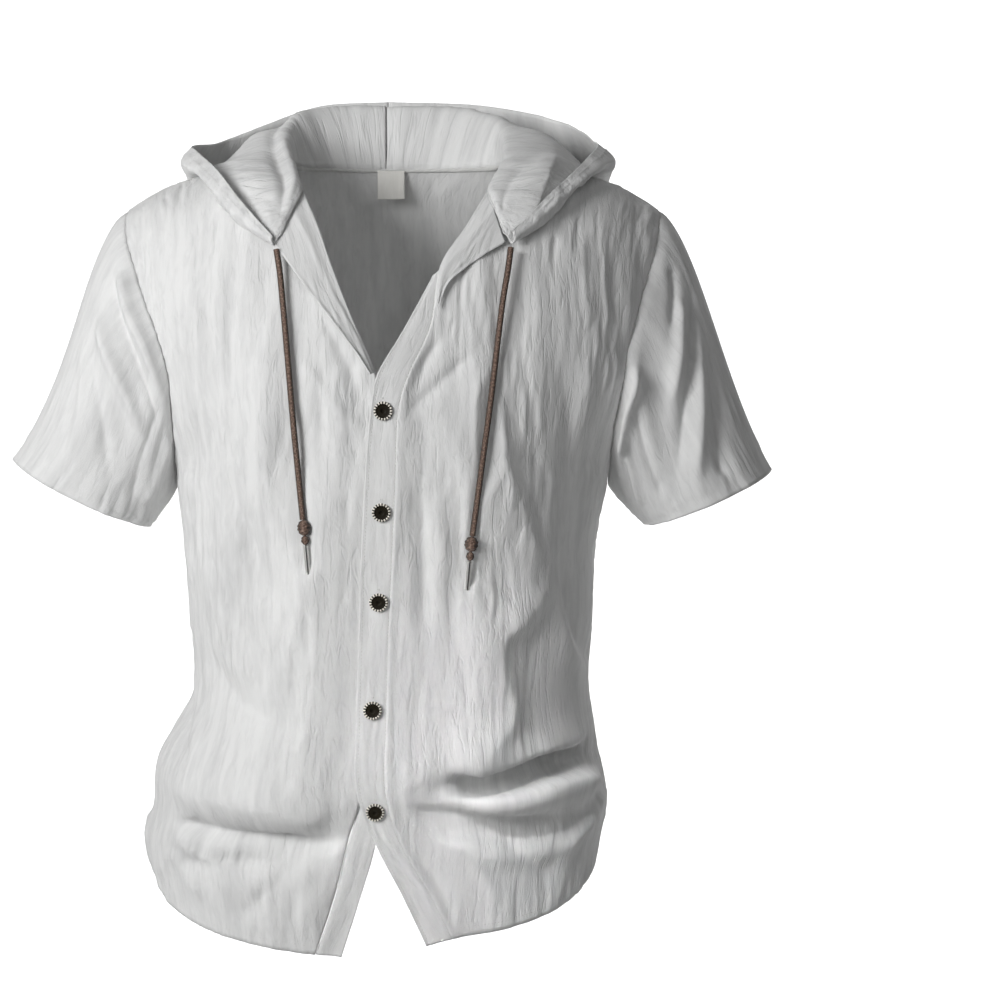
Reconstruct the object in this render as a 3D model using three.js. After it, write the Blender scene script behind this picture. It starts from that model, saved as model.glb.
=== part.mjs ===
// A hooded short-sleeved shirt, filled out as if worn, with its hood lying down on the back.
// Millimetres. +X is the wearer's left, -Y is the front, +Z is up.
// The origin is the middle of the neck base, where the shirt hangs on its wearer.
import * as THREE from "three";

// One layer of cloth, and the clear gap between neighbouring pieces.
const CLOTH = 1.5;
const GAP = 0.3;

const rad = (degrees) => (degrees * Math.PI) / 180;
const lerp = (a, b, t) => a + (b - a) * t;
const mix = (p, q, t) => p.map((v, i) => lerp(v, q[i], t));
const add = (p, q, s = 1) => p.map((v, i) => v + q[i] * s);
const sub = (p, q) => p.map((v, i) => v - q[i]);
const cross = (a, b) => [a[1] * b[2] - a[2] * b[1], a[2] * b[0] - a[0] * b[2], a[0] * b[1] - a[1] * b[0]];
const length = (p) => Math.hypot(...p);
const unit = (p) => p.map((v) => v / (length(p) || 1));
const smooth = (t) => t * t * (3 - 2 * t);
const clamp01 = (t) => Math.min(Math.max(t, 0), 1);

// Smooth curve through rows of numbers, at position k counted in rows.
function through(rows, k) {
  const n = rows.length - 1;
  const i = Math.min(Math.max(Math.floor(k), 0), n - 1);
  const t = k - i;
  const b = rows[i];
  const c = rows[i + 1];
  const a = i > 0 ? rows[i - 1] : b.map((v, j) => 2 * v - c[j]);
  const d = i < n - 1 ? rows[i + 2] : c.map((v, j) => 2 * v - b[j]);
  return b.map((v, j) => {
    const m0 = (c[j] - a[j]) / 2;
    const m1 = (d[j] - v) / 2;
    const lift = (m0 - (c[j] - v)) * t * (1 - t) ** 2 - (m1 - (c[j] - v)) * t * t * (1 - t);
    return lerp(v, c[j], t) + lift;
  });
}

// The same through points that are unevenly spaced, without swinging wide of them.
function throughUneven(points, k) {
  const n = points.length - 1;
  const i = Math.min(Math.max(Math.floor(k), 0), n - 1);
  const t = k - i;
  const b = points[i];
  const c = points[i + 1];
  const a = i > 0 ? points[i - 1] : sub(add(b, b), c);
  const d = i < n - 1 ? points[i + 2] : sub(add(c, c), b);
  const d0 = Math.sqrt(length(sub(b, a))) || 1;
  const d1 = Math.sqrt(length(sub(c, b))) || 1;
  const d2 = Math.sqrt(length(sub(d, c))) || 1;
  return b.map((v, j) => {
    const m0 = ((v - a[j]) / d0 - (c[j] - a[j]) / (d0 + d1) + (c[j] - v) / d1) * d1;
    const m1 = ((c[j] - v) / d1 - (d[j] - v) / (d1 + d2) + (d[j] - c[j]) / d2) * d1;
    const lift = (m0 - (c[j] - v)) * t * (1 - t) ** 2 - (m1 - (c[j] - v)) * t * t * (1 - t);
    return lerp(v, c[j], t) + lift;
  });
}

// Front sections, hem to shoulder: inner edge x y z, outer edge x y z, sweep round the body in degrees.
// Rows 0 to 7 end at the side seam, rows 7 to 16 at the armhole.
const ARMPIT = 7;
const TOP = 16;
const FRONT_RIGHT = [
  [-65, -142, -709, -233, 0, -642, 90],
  [-47, -147, -655, -238, 0, -620, 90],
  [-34, -152, -602, -229, 2, -600, 90],
  [-20, -157, -550, -221, 4, -552, 90],
  [-20, -151, -490, -190, 4, -492, 90],
  [-18, -148, -420, -191, 2, -425, 90],
  [-15, -149, -340, -195, 0, -352, 90],
  [-11, -149, -270, -200, 0, -291, 90],
  [-8, -148, -235, -197.5, -45, -250, 72],
  [-7, -146, -204, -198, -65, -215, 64],
  [-6, -143, -176, -199, -75, -182, 58],
  [-25, -137, -130, -208, -73, -148, 54],
  [-42, -126, -88, -219, -65, -120, 50],
  [-58, -106, -45, -231, -47, -88, 45],
  [-72, -81, -17, -240, -32, -62, 40],
  [-84, -42, 0, -243, -17, -44, 32],
  [-91, 2, 7, -243, 2, -36, 20],
];
const FRONT_LEFT = [
  [61, -142, -693, 199, 0, -638, 90],
  [40, -147, -648, 202, 0, -621, 90],
  [15, -152, -602, 206, 2, -601, 90],
  [1, -157, -550, 199, 4, -553, 90],
  [2, -151, -490, 189, 4, -490, 90],
  [4, -148, -420, 192, 2, -430, 90],
  [8, -149, -340, 195, 0, -355, 90],
  [11.5, -149, -270, 206, 0, -291, 90],
  [12.4, -148, -235, 208, -45, -250, 72],
  [15, -146, -204, 212, -64, -216, 64],
  [24, -144, -176, 217, -75, -188, 58],
  [43, -139, -134, 222, -74, -155, 54],
  [51, -129, -84, 231, -66, -124, 50],
  [72, -110, -52, 241, -48, -92, 45],
  [92, -80, -20, 249, -33, -64, 40],
  [104, -42, 0, 252, -17, -45, 32],
  [109, 2, 7, 252, 2, -36, 20],
];

// Back sections: centre y and z. Their ends are the front's side seam, then these armhole points.
const BACK_CENTRE = [
  [112, -655],
  [118, -628],
  [122, -598],
  [121, -550],
  [108, -490],
  [102, -420],
  [106, -340],
  [114, -266],
  [118, -222],
  [120, -184],
  [119, -148],
  [115, -112],
  [108, -76],
  [99, -43],
  [90, -18],
  [84, -5],
  [80, 2],
];
const BACK_ARMHOLE = [
  [0, 0, -291, 90],
  [0, 42, -252, 74],
  [3, 60, -216, 66],
  [7, 68, -184, 60],
  [13, 67, -150, 56],
  [22, 58, -120, 52],
  [32, 43, -90, 47],
  [39, 32, -62, 42],
  [43, 18, -44, 34],
  [43, 2, -36, 20],
];

// Soft folds of the body: centre x z, lie in degrees, half length, half width, depth.
const FRONT_FOLDS = [
  [-110, -622, 8, 105, 15, -10],
  [-120, -580, 4, 95, 26, 7],
  [-205, -655, 35, 40, 11, -6],
  [125, -540, 6, 75, 12, -11],
  [135, -568, -10, 80, 15, 8],
  [95, -596, -6, 75, 12, -6],
  [110, -330, -62, 190, 17, 4],
  [-95, -455, 78, 110, 20, 3],
  [-130, -300, 70, 120, 20, 3],
];
const BACK_FOLDS = [
  [0, -556, 2, 150, 20, 8],
  [-20, -596, -4, 140, 13, -8],
  [90, -520, 14, 90, 14, -6],
  [-110, -510, -12, 85, 14, -6],
  [60, -330, 76, 150, 20, 4],
  [-70, -300, 104, 150, 20, 4],
];

function foldDepth(folds, x, z) {
  let total = 0;
  for (const [x0, z0, lie, long, wide, depth] of folds) {
    const c = Math.cos(rad(lie));
    const s = Math.sin(rad(lie));
    const along = ((x - x0) * c + (z - z0) * s) / long;
    const across = ((z - z0) * c - (x - x0) * s) / wide;
    total += depth * Math.exp(-(along ** 4) - across ** 2);
  }
  return total;
}

// Folds fade out towards the front edges and the seams at the neck, the shoulders and the sides.
function foldFade(t, k) {
  const across = smooth(clamp01(t / 0.25)) * (1 - smooth(clamp01((t - 0.8) / 0.2)));
  return across * (1 - smooth(clamp01((k - 12) / 2)));
}

function outerEdge(rows, k) {
  const ends = rows.map((r) => r.slice(3));
  return k <= ARMPIT ? through(ends.slice(0, ARMPIT + 1), k) : through(ends.slice(ARMPIT), k - ARMPIT);
}

// A body section from its inner edge (t = 0) to its outer edge (t = 1).
function section(inner, outer, t) {
  const arc = rad(outer[3]);
  const reach = Math.sin(t * arc) / Math.sin(arc);
  const drop = (Math.cos(t * arc) - Math.cos(arc)) / (1 - Math.cos(arc));
  const ease = 0.2 + outer[3] / 360;
  const x = lerp(inner[0], outer[0], reach);
  const y = lerp(outer[1], inner[1], drop ** 0.92);
  const z = lerp(inner[2], outer[2], ease * t + (1 - ease) * t ** 3);
  return [x, y, z];
}

function front(rows, t, k) {
  const inner = through(rows, k).slice(0, 3);
  const p = section(inner, outerEdge(rows, k), t);
  p[1] -= foldDepth(FRONT_FOLDS, p[0], p[2]) * foldFade(t, k);
  return p;
}

const NECK_CENTRE = [-4, 80, 2];
const NECK_SHARE = 0.4;

function backNeck(rows, a) {
  const end = rows[TOP];
  const x = lerp(NECK_CENTRE[0], end[0], Math.sin((a * Math.PI) / 2));
  const y = lerp(end[1], NECK_CENTRE[1], Math.cos((a * Math.PI) / 2));
  return [x, y, lerp(NECK_CENTRE[2], end[2], a * a)];
}

// Half of the back, from its centre (t = 0) to the side seam or armhole (t = 1).
function back(rows, t, k) {
  const [y, z] = through(BACK_CENTRE, k);
  const side = Math.sign(rows[0][0]);
  const armhole = BACK_ARMHOLE.map((r) => [rows[ARMPIT][3] + side * r[0], r[1], r[2], r[3]]);
  armhole[armhole.length - 1] = rows[TOP].slice(3);
  const outer = k <= ARMPIT ? outerEdge(rows, k) : through(armhole, k - ARMPIT);
  const p = section([NECK_CENTRE[0] * smooth(clamp01((k - 10) / 6)), y, z], outer, t);
  p[1] += foldDepth(BACK_FOLDS, p[0], p[2]) * foldFade(Math.max(t, 0.25), k);
  const q = smooth(clamp01((k - 13) / 3));
  if (q === 0) {
    return p;
  }
  const top = t < NECK_SHARE
    ? backNeck(rows, t / NECK_SHARE)
    : front(rows, (t - NECK_SHARE) / (1 - NECK_SHARE), TOP);
  return mix(p, top, q);
}

// The armhole loop, turning from the shoulder point (0) down the front to the armpit (0.5) and up the back.
function armhole(rows, turn) {
  const span = TOP - ARMPIT;
  return turn <= 0.5
    ? front(rows, 1, TOP - turn * 2 * span)
    : back(rows, 1, ARMPIT + (turn - 0.5) * 2 * span);
}

// Sleeves: the cuff's outer and under corners (x z), its half depth, and how the sleeve leaves and arrives.
const SLEEVE_RIGHT = {
  rows: FRONT_RIGHT,
  cuff: { outer: [-356, -268], under: [-227, -333], deep: 60 },
  leave: { top: [-130, -90], under: [-18, -45] },
  arrive: { top: [-190, -230], under: [-30, -42] },
};
const SLEEVE_LEFT = {
  rows: FRONT_LEFT,
  cuff: { outer: [361, -279], under: [241, -332], deep: 60 },
  leave: { top: [115, -80], under: [20, -45] },
  arrive: { top: [140, -225], under: [32, -42] },
};
// Soft folds of a sleeve: turn, share of its length, lie, half length, half width, depth.
const SLEEVE_FOLDS = [
  [0.2, 0.45, 0.5, 0.45, 0.045, -5],
  [0.29, 0.6, 0.35, 0.4, 0.04, 4],
  [0.36, 0.5, 0.25, 0.4, 0.04, -4],
  [0.7, 0.5, -0.35, 0.45, 0.05, -4],
  [0.82, 0.55, -0.45, 0.4, 0.045, 4],
];

function sleeve({ rows, cuff, leave, arrive }, turn, w) {
  const phase = turn * 2 * Math.PI;
  const c = (1 + Math.cos(phase)) / 2;
  const start = armhole(rows, turn);
  const end = [
    lerp(cuff.under[0], cuff.outer[0], c),
    -cuff.deep * Math.sin(phase),
    lerp(cuff.under[1], cuff.outer[1], c),
  ];
  const from = mix([leave.under[0], 0, leave.under[1]], [leave.top[0], 0, leave.top[1]], c);
  const to = mix([arrive.under[0], 0, arrive.under[1]], [arrive.top[0], 0, arrive.top[1]], c);
  const h01 = w * w * (3 - 2 * w);
  const h10 = w * (1 - w) ** 2;
  const h11 = -w * w * (1 - w);
  return start.map((v, i) => lerp(v, end[i], h01) + from[i] * h10 + to[i] * h11);
}

function sleeveFold(turn, w) {
  let total = 0;
  for (const [t0, w0, lie, long, wide, depth] of SLEEVE_FOLDS) {
    const along = (w - w0) / long;
    const across = (turn - t0 - (w - w0) * lie * 0.2) / wide;
    total += depth * Math.exp(-(along ** 4) - across ** 2);
  }
  return total * Math.sin(Math.PI * clamp01(w)) ** 0.5;
}

// Hood stations, from the front corner round to the centre back:
// neck seam, roll at the neck, middle of the falling layer, fold at the bottom, rising layer, face edge.
const HOOD_RIGHT = [
  [[-90, -118, -56], [-91, -119, -57], [-92.5, -120.5, -59], [-95, -122, -65], [-97, -126, -62], [-97, -125, -56]],
  [[-81, -106, -35], [-84, -108, -33], [-100, -110, -37], [-127, -102, -47], [-131, -107, -38], [-125, -104, -27]],
  [[-73, -84, -15], [-77, -83, -10], [-108, -86, -12], [-156, -64, -16], [-162, -68, -9], [-152, -65, 2]],
  [[-84, -42, 1], [-83, -46, 5], [-124, -44, 7], [-180, -20, 0], [-187, -21, 7], [-176, -13, 18]],
  [[-91, 2, 8], [-91, -6, 22], [-132, 2, 17], [-188, 26, -4], [-195, 28, 7], [-185, 26, 24]],
  [[-84, 38, 7.3], [-95, 34, 38], [-130, 50, 31], [-178, 78, -38], [-186, 84, -8], [-168, 88, 28]],
  [[-64, 61, 5], [-88, 66, 55], [-108, 88, 24], [-140, 122, -95], [-144, 133, -30], [-128, 116, 44]],
  [[-36, 75, 3], [-52, 87, 61], [-62, 110, 22], [-82, 140, -142], [-86, 152, -45], [-72, 143, 64]],
  [[-6, 80, 3], [-6, 92, 62], [-6, 118, 17], [-6, 145, -165], [-6, 160, -50], [-6, 149, 68]],
];
const HOOD_LEFT = [
  [[107, -117, -54], [108, -118, -55], [110, -119.5, -57], [114, -121, -63], [116, -125, -60], [115, -124, -53]],
  [[100, -104, -36], [103, -105, -33], [118, -107, -36], [147, -97, -44], [151, -101, -32], [147, -98, -21]],
  [[93, -82, -18], [97, -82, -13], [126, -82, -11], [172, -64, -15], [180, -66, -8], [172, -61, 1]],
  [[104, -42, 1], [106, -46, 7], [142, -44, 9], [195, -18, -1], [203, -16, 7], [190, -9, 18]],
  [[109, 2, 8], [109, 2, 21], [152, 6, 20], [203, 26, -6], [211, 30, 9], [194, 26, 26]],
  [[101, 38, 7.3], [107, 40, 37], [148, 54, 33], [196, 78, -40], [203, 84, -8], [178, 78, 40]],
  [[76, 61, 5], [98, 72, 53], [122, 92, 28], [150, 122, -96], [157, 132, -28], [146, 104, 53]],
  [[38, 75, 3], [58, 90, 61], [66, 112, 22], [78, 140, -142], [84, 152, -45], [80, 143, 65]],
  [[-6, 80, 3], [-6, 92, 62], [-6, 118, 17], [-6, 145, -165], [-6, 160, -50], [-6, 149, 68]],
];

function hood(stations, u, v) {
  const guides = stations[0].map((_, g) => through(stations.map((s) => s[g]), u));
  return throughUneven(guides, v);
}

// Outward direction of a surface at (u, v), turned to agree with a hint.
function normalOf(f, u, v, outward) {
  const e = 1e-3;
  const du = sub(f(u + e, v), f(u - e, v));
  const dv = sub(f(u, v + e), f(u, v - e));
  const n = unit(cross(du, dv));
  const hint = outward(f(u, v), u, v);
  return n[0] * hint[0] + n[1] * hint[1] + n[2] * hint[2] < 0 ? n.map((a) => -a) : n;
}

// Closed wall from two grids of points, its outer and its inner face.
function wall(name, outer, inner, material, wrap = false) {
  const rows = outer.length;
  const cols = outer[0].length;
  const points = [];
  const index = [];
  for (const grid of [outer, inner]) {
    for (const row of grid) {
      for (const p of row) {
        points.push(...p);
      }
    }
  }
  const at = (face, i, j) => (face * rows + i) * cols + (j % cols);
  const quad = (a, b, c, d) => index.push(a, b, c, a, c, d);
  const span = wrap ? cols : cols - 1;
  for (let i = 0; i < rows - 1; i++) {
    for (let j = 0; j < span; j++) {
      quad(at(0, i, j), at(0, i, j + 1), at(0, i + 1, j + 1), at(0, i + 1, j));
      quad(at(1, i, j), at(1, i + 1, j), at(1, i + 1, j + 1), at(1, i, j + 1));
    }
  }
  for (let j = 0; j < span; j++) {
    quad(at(0, 0, j), at(1, 0, j), at(1, 0, j + 1), at(0, 0, j + 1));
    quad(at(0, rows - 1, j), at(0, rows - 1, j + 1), at(1, rows - 1, j + 1), at(1, rows - 1, j));
  }
  if (!wrap) {
    for (let i = 0; i < rows - 1; i++) {
      quad(at(0, i, 0), at(0, i + 1, 0), at(1, i + 1, 0), at(1, i, 0));
      quad(at(0, i, cols - 1), at(1, i, cols - 1), at(1, i + 1, cols - 1), at(0, i + 1, cols - 1));
    }
  }
  return solid(name, points, index, material);
}

// A mesh whose faces all look outwards.
function solid(name, points, index, material) {
  let volume = 0;
  for (let i = 0; i < index.length; i += 3) {
    const [a, b, c] = [0, 1, 2].map((k) => points.slice(index[i + k] * 3, index[i + k] * 3 + 3));
    const n = cross(b, c);
    volume += a[0] * n[0] + a[1] * n[1] + a[2] * n[2];
  }
  if (volume < 0) {
    for (let i = 0; i < index.length; i += 3) {
      [index[i + 1], index[i + 2]] = [index[i + 2], index[i + 1]];
    }
  }
  const geometry = new THREE.BufferGeometry();
  geometry.setAttribute("position", new THREE.Float32BufferAttribute(points, 3));
  geometry.setIndex(index);
  geometry.computeVertexNormals();
  const mesh = new THREE.Mesh(geometry, material);
  mesh.name = name;
  return mesh;
}

const steps = (from, to, count) => Array.from({ length: count + 1 }, (_, i) => lerp(from, to, i / count));

// Named colours of the cloth and trims.
const cloth = new THREE.MeshStandardMaterial({ color: "#e9e9e6", roughness: 0.9, name: "cotton" });
const tapeCloth = new THREE.MeshStandardMaterial({ color: "#dcdcd8", roughness: 0.9, name: "neck tape" });
const labelCloth = new THREE.MeshStandardMaterial({ color: "#efeee6", roughness: 0.7, name: "label" });
const buttonBrown = new THREE.MeshStandardMaterial({ color: "#2a1f1a", roughness: 0.35, name: "button" });
const cordBrown = new THREE.MeshStandardMaterial({ color: "#6b543f", roughness: 0.85, name: "braided cord" });
const tipMetal = new THREE.MeshStandardMaterial({ color: "#8c8a86", metalness: 1, roughness: 0.3, name: "cord tip" });

const shirt = new THREE.Group();
shirt.name = "hooded_shirt";

// Seam directions shared by the pieces that meet there, so that their walls end flush.
function armholeNormal(set, turn) {
  const n1 = normalOf((a, b) => sleeve(set, a, b), turn, 0.01, sleeveOut(set));
  const span = TOP - ARMPIT;
  const k = turn <= 0.5 ? TOP - turn * 2 * span : ARMPIT + (turn - 0.5) * 2 * span;
  const f = turn <= 0.5 ? (t, q) => front(set.rows, t, q) : (t, q) => back(set.rows, t, q);
  const n2 = normalOf(f, 0.99, Math.min(Math.max(k, ARMPIT + 0.05), TOP - 0.05), bodyOut);
  return unit(add(n1, n2));
}

function bodyOut(p) {
  return [p[0], p[1] * 1.2, Math.max(0, p[2] + 90)];
}

function sleeveOut(set) {
  const mid = [lerp(set.cuff.outer[0], set.cuff.under[0], 0.5), 0, -210];
  return (p) => sub(p, [mid[0] * 0.85, 0, Math.min(-60, p[2] + 20)]);
}

// A body panel's wall. Its outer edge shares the armhole's or the side seam's direction.
function panelWall(name, f, ts, ks, edgeNormal) {
  const outer = [];
  const inner = [];
  for (const k of ks) {
    const outs = [];
    const ins = [];
    for (const t of ts) {
      const p = f(t, k);
      const n = edgeNormal(t, k) ?? normalOf(f, Math.min(Math.max(t, -0.99), 0.99), Math.min(k, TOP - 0.01), bodyOut);
      outs.push(p);
      ins.push(add(p, n, -CLOTH));
    }
    outer.push(outs);
    inner.push(ins);
  }
  return wall(name, outer, inner, cloth);
}

const SIDES = { right: SLEEVE_RIGHT, left: SLEEVE_LEFT };

function seamNormal(set, isBack) {
  const side = Math.sign(set.rows[0][0]);
  return (t, k) => {
    const edge = Math.abs(t) > 0.985;
    if (k > TOP - 0.03) {
      const shoulder = isBack ? Math.abs(t) >= NECK_SHARE - 0.01 : true;
      return shoulder ? unit([side * 0.2, 0, 1]) : unit([0, 0.35, 1]);
    }
    if (edge && k > ARMPIT + 0.2) {
      const share = (TOP - k) / (2 * (TOP - ARMPIT));
      return armholeNormal(set, isBack ? 1 - share : share);
    }
    return edge ? unit([side, 0, 0.05]) : null;
  };
}

const panelRows = [0, 0.5, 1, 1.5, 2, 2.5, 3, 3.5, 4, 4.6, 5.3, 6, 6.6, 7, 7.7, 8.4, 9.2, 10, 11, 12, 13, 14, 15, 16];
const edgeTrim = 0.002;
for (const [side, set] of Object.entries(SIDES)) {
  const ts = steps(0, 1 - edgeTrim, 12);
  const f = (t, k) => front(set.rows, t, k);
  const ks = panelRows.map((k) => Math.min(k, TOP - 0.006));
  shirt.add(panelWall(`front_${side}`, f, ts, ks, seamNormal(set, false)));
}

const backSeams = { right: seamNormal(SLEEVE_RIGHT, true), left: seamNormal(SLEEVE_LEFT, true) };
const backAt = (t, k) => add(back(t < 0 ? FRONT_RIGHT : FRONT_LEFT, Math.abs(t), k), [0, GAP, 0], smooth(clamp01(k - 15)));
const halfSteps = [0.1, 0.2, 0.3, 0.4, 0.49, 0.58, 0.67, 0.76, 0.85, 0.93, 1 - edgeTrim];
const backSteps = [...halfSteps.map((t) => -t).reverse(), 0, ...halfSteps];
const backRows = panelRows.map((k) => Math.min(k, TOP - 0.006));
const backNormal = (t, k) => backSeams[t < 0 ? "right" : "left"](t, k);
shirt.add(panelWall("back", backAt, backSteps, backRows, backNormal));

for (const [side, set] of Object.entries(SIDES)) {
  const outer = [];
  const inner = [];
  const down = panelRows.filter((k) => k >= ARMPIT).map((k) => (TOP - k) / (2 * (TOP - ARMPIT)));
  const turns = [...down.reverse(), ...down.slice(1, -1).reverse().map((turn) => 1 - turn)];
  for (const w of [0, 0.1, 0.22, 0.36, 0.5, 0.64, 0.78, 0.9, 1]) {
    const outs = [];
    const ins = [];
    for (const turn of turns) {
      const f = (a, b) => sleeve(set, (a + 1) % 1, b);
      const at = w === 0 ? 0.55 / lerp(48, 150, (1 + Math.cos(turn * 2 * Math.PI)) / 2) : w;
      const n = w === 0 ? armholeNormal(set, turn) : normalOf(f, turn, Math.min(w, 0.99), sleeveOut(set));
      const p = add(f(turn, at), n, sleeveFold(turn, w));
      outs.push(p);
      ins.push(add(p, n, -CLOTH));
    }
    outer.push(outs);
    inner.push(ins);
  }
  shirt.add(wall(`sleeve_${side}`, outer, inner, cloth, true));
}

// The free edges of the two front bands, x z, row for row with the front sections.
const STAND_EDGE = [
  [-41, -711],
  [-24, -657],
  [-8.5, -603],
  [-2, -550],
  [0, -490],
  [2, -420],
  [6, -340],
  [9.5, -270],
  [10, -235],
  [6, -204],
  [-1, -179],
];
const PLACKET_EDGE = [
  [37, -700],
  [14.5, -649],
  [-8, -602],
  [-25, -550],
  [-25, -490],
  [-22.5, -420],
  [-19.5, -340],
  [-15.4, -270],
  [-13, -235],
  [-9.5, -204],
  [-3.5, -176],
  [19, -138],
  [45, -91],
];

// A band along a front edge: its seam is the panel's inner edge, its other side the free edge.
function band(name, rows, edge, lift, tuck, last) {
  const outer = [];
  const inner = [];
  for (const k of panelRows.filter((row) => row <= last)) {
    const [xs, ys, zs] = front(rows, 0, k);
    const [xf, zf] = through(edge, k);
    const side = Math.sign(xs - xf);
    const bend = 0.12 * Math.abs(xs - xf) * smooth(clamp01((k - 9) / 2));
    const outs = [0, 0.5, 1].map((q) => [lerp(xs + side * tuck, xf, q), ys - lift - bend * q, lerp(zs, zf, q)]);
    outer.push(outs);
    inner.push(outs.map((p) => add(p, [0, 1, 0], CLOTH)));
  }
  return wall(name, outer, inner, cloth);
}
shirt.add(band("button_stand", FRONT_RIGHT, STAND_EDGE, 0, -GAP, 10));
shirt.add(band("placket", FRONT_LEFT, PLACKET_EDGE, CLOTH + 1.1, 2, 12));

// Where the front of the body is, at a given x and z, pushed out by a distance.
function onFront(rows, x, z, out) {
  let best = [Infinity, 0, 0];
  for (const t of steps(-0.1, 1, 44)) {
    for (const k of steps(0, TOP, 64)) {
      const p = front(rows, t, k);
      const miss = (p[0] - x) ** 2 + (p[2] - z) ** 2;
      if (miss < best[0]) {
        best = [miss, t, k];
      }
    }
  }
  let [, t, k] = best;
  const e = 1e-4;
  for (let pass = 0; pass < 6; pass++) {
    const p = front(rows, t, k);
    const pt = sub(front(rows, t + e, k), p).map((v) => v / e);
    const pk = sub(front(rows, t, k + e), p).map((v) => v / e);
    const area = pt[0] * pk[2] - pk[0] * pt[2];
    const miss = [x - p[0], z - p[2]];
    t += (miss[0] * pk[2] - miss[1] * pk[0]) / area;
    k = Math.min(Math.max(k + (pt[0] * miss[1] - pt[2] * miss[0]) / area, 0), TOP);
  }
  return [x, front(rows, t, k)[1] - out, z];
}

// The neck facings turned out over the fronts: free edge x z against the front section they start from.
const FACING_RIGHT = [
  [10, -8, -179],
  [10.6, -24, -155],
  [11.2, -41, -133],
  [12, -61, -108],
  [13, -80, -83.5],
  [14, -94, -66.5],
];
const FACING_LEFT = [
  [11.5, 49, -121],
  [12, 56, -101],
  [12.5, 71, -87],
  [13.2, 89, -74],
  [14, 108, -63],
];

function facing(name, rows, table, lift) {
  const outer = [];
  const inner = [];
  for (const j of steps(0, table.length - 1, (table.length - 1) * 4)) {
    const [k, xf, zf] = through(table, j);
    const roll = front(rows, 0, k);
    const free = onFront(rows, xf, zf, 0);
    const outs = steps(0, 1, 5).map((q) => {
      const base = q === 0 ? roll : onFront(rows, lerp(roll[0], free[0], q), lerp(roll[2], free[2], q), 0);
      const stand = lift - (lift - 2.4) * smooth(clamp01(k - 12)) + 2.6 * Math.sin(Math.PI * q ** 0.7 * 0.85);
      return add(base, unit([Math.sign(roll[0]) * 0.25, -1, 0.35]), stand);
    });
    outer.push(outs);
    inner.push(outs.map((p) => add(p, unit([Math.sign(roll[0]) * 0.25, -1, 0.35]), -CLOTH)));
  }
  return wall(name, outer, inner, cloth);
}
shirt.add(facing("facing_right", FRONT_RIGHT, FACING_RIGHT, 2.4));
shirt.add(facing("facing_left", FRONT_LEFT, FACING_LEFT, 4.4));

// The hood's halves. The wall doubles in the casing along the face edge.
const hoodSteps = [0, 0.4, 0.75, 0.9, 1, 1.12, 1.35, 1.7, 2, 2.4, 2.7, 2.87, 3, 3.15, 3.5, 4, 4.4, 4.7, 5];
for (const [side, stations] of Object.entries({ right: HOOD_RIGHT, left: HOOD_LEFT })) {
  const outer = [];
  const inner = [];
  const f = (u, v) => hood(stations, u, v);
  const way = side === "right" ? 1 : -1;
  for (const v of hoodSteps) {
    const outs = [];
    const ins = [];
    for (const u of steps(0, 8, 16)) {
      const e = 1e-3;
      const du = sub(f(u + e, v), f(u - e, v));
      const dv = sub(f(u, v + e), f(u, v - e));
      const turned = cross(du, dv).map((a) => a * way);
      turned[0] *= u < 8 ? 1 : 0;
      const n = unit(turned);
      const half = 0.75 + 0.35 * smooth(clamp01((v - 4.6) / 0.1));
      const p = add(f(u, v), [side === "right" ? -0.2 : 0.2, 0, 0]);
      outs.push(add(p, n, half));
      ins.push(add(p, n, -half));
    }
    outer.push(outs);
    inner.push(ins);
  }
  shirt.add(wall(`hood_${side}`, outer, inner, cloth));
}

// The tape over the seam inside the back of the neck, and the bare label that hangs from it.
const tapeSteps = backSteps.filter((t) => Math.abs(t) < 0.35);
const tapeGrid = (depth) => [0.1, 0.95].map((q) => tapeSteps.map((t) => {
  const low = add(backAt(t, 15), normalOf(backAt, t, 15, bodyOut), -CLOTH);
  const high = add(backAt(t, TOP - 0.006), backNormal(t, TOP - 0.006), -CLOTH);
  const face = mix(low, high, q);
  return add(face, unit(sub([0, 0, -50], face)), depth);
}));
const tapeOuter = tapeGrid(0.5);
const tapeInner = tapeGrid(1.5);
shirt.add(wall("neck_tape", tapeOuter, tapeInner, tapeCloth));

const label = new THREE.Mesh(new THREE.BoxGeometry(26, 1, 27), labelCloth);
label.position.set(-1, 74.8, -13.2);
label.rotation.x = rad(-4);
label.name = "label";
shirt.add(label);

// Buttons on the placket: height and x of each centre.
const BUTTONS = [
  [1, -209],
  [-1, -299],
  [-4, -380],
  [-10, -478],
  [-8, -570],
];
const ring = (x, y, radius, sides) =>
  steps(0, 1, sides).slice(1).map((turn) => {
    const angle = turn * 2 * Math.PI;
    return new THREE.Vector2(x + radius * Math.cos(angle), y + radius * Math.sin(angle));
  });
const buttonFace = new THREE.Shape(ring(0, 0, 8.4, 20));
for (const [hx, hy] of [[-1.5, -1.5], [1.5, -1.5], [1.5, 1.5], [-1.5, 1.5]]) {
  buttonFace.holes.push(new THREE.Path(ring(hx, hy, 0.9, 6)));
}
const buttonShape = new THREE.ExtrudeGeometry(buttonFace, { depth: 2.6, bevelEnabled: false });
function placketFace(z) {
  let k = 0;
  while (front(FRONT_LEFT, 0, k)[2] < z) {
    k += 0.01;
  }
  return front(FRONT_LEFT, 0, k)[1] - CLOTH - 1.1;
}
BUTTONS.forEach(([x, z], i) => {
  const button = new THREE.Mesh(buttonShape, buttonBrown);
  button.rotation.x = rad(90) - Math.atan((placketFace(z + 8) - placketFace(z - 8)) / 16);
  button.position.set(x, placketFace(z) - 0.45, z);
  button.name = `button_${i + 1}`;
  shirt.add(button);
});

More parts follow.
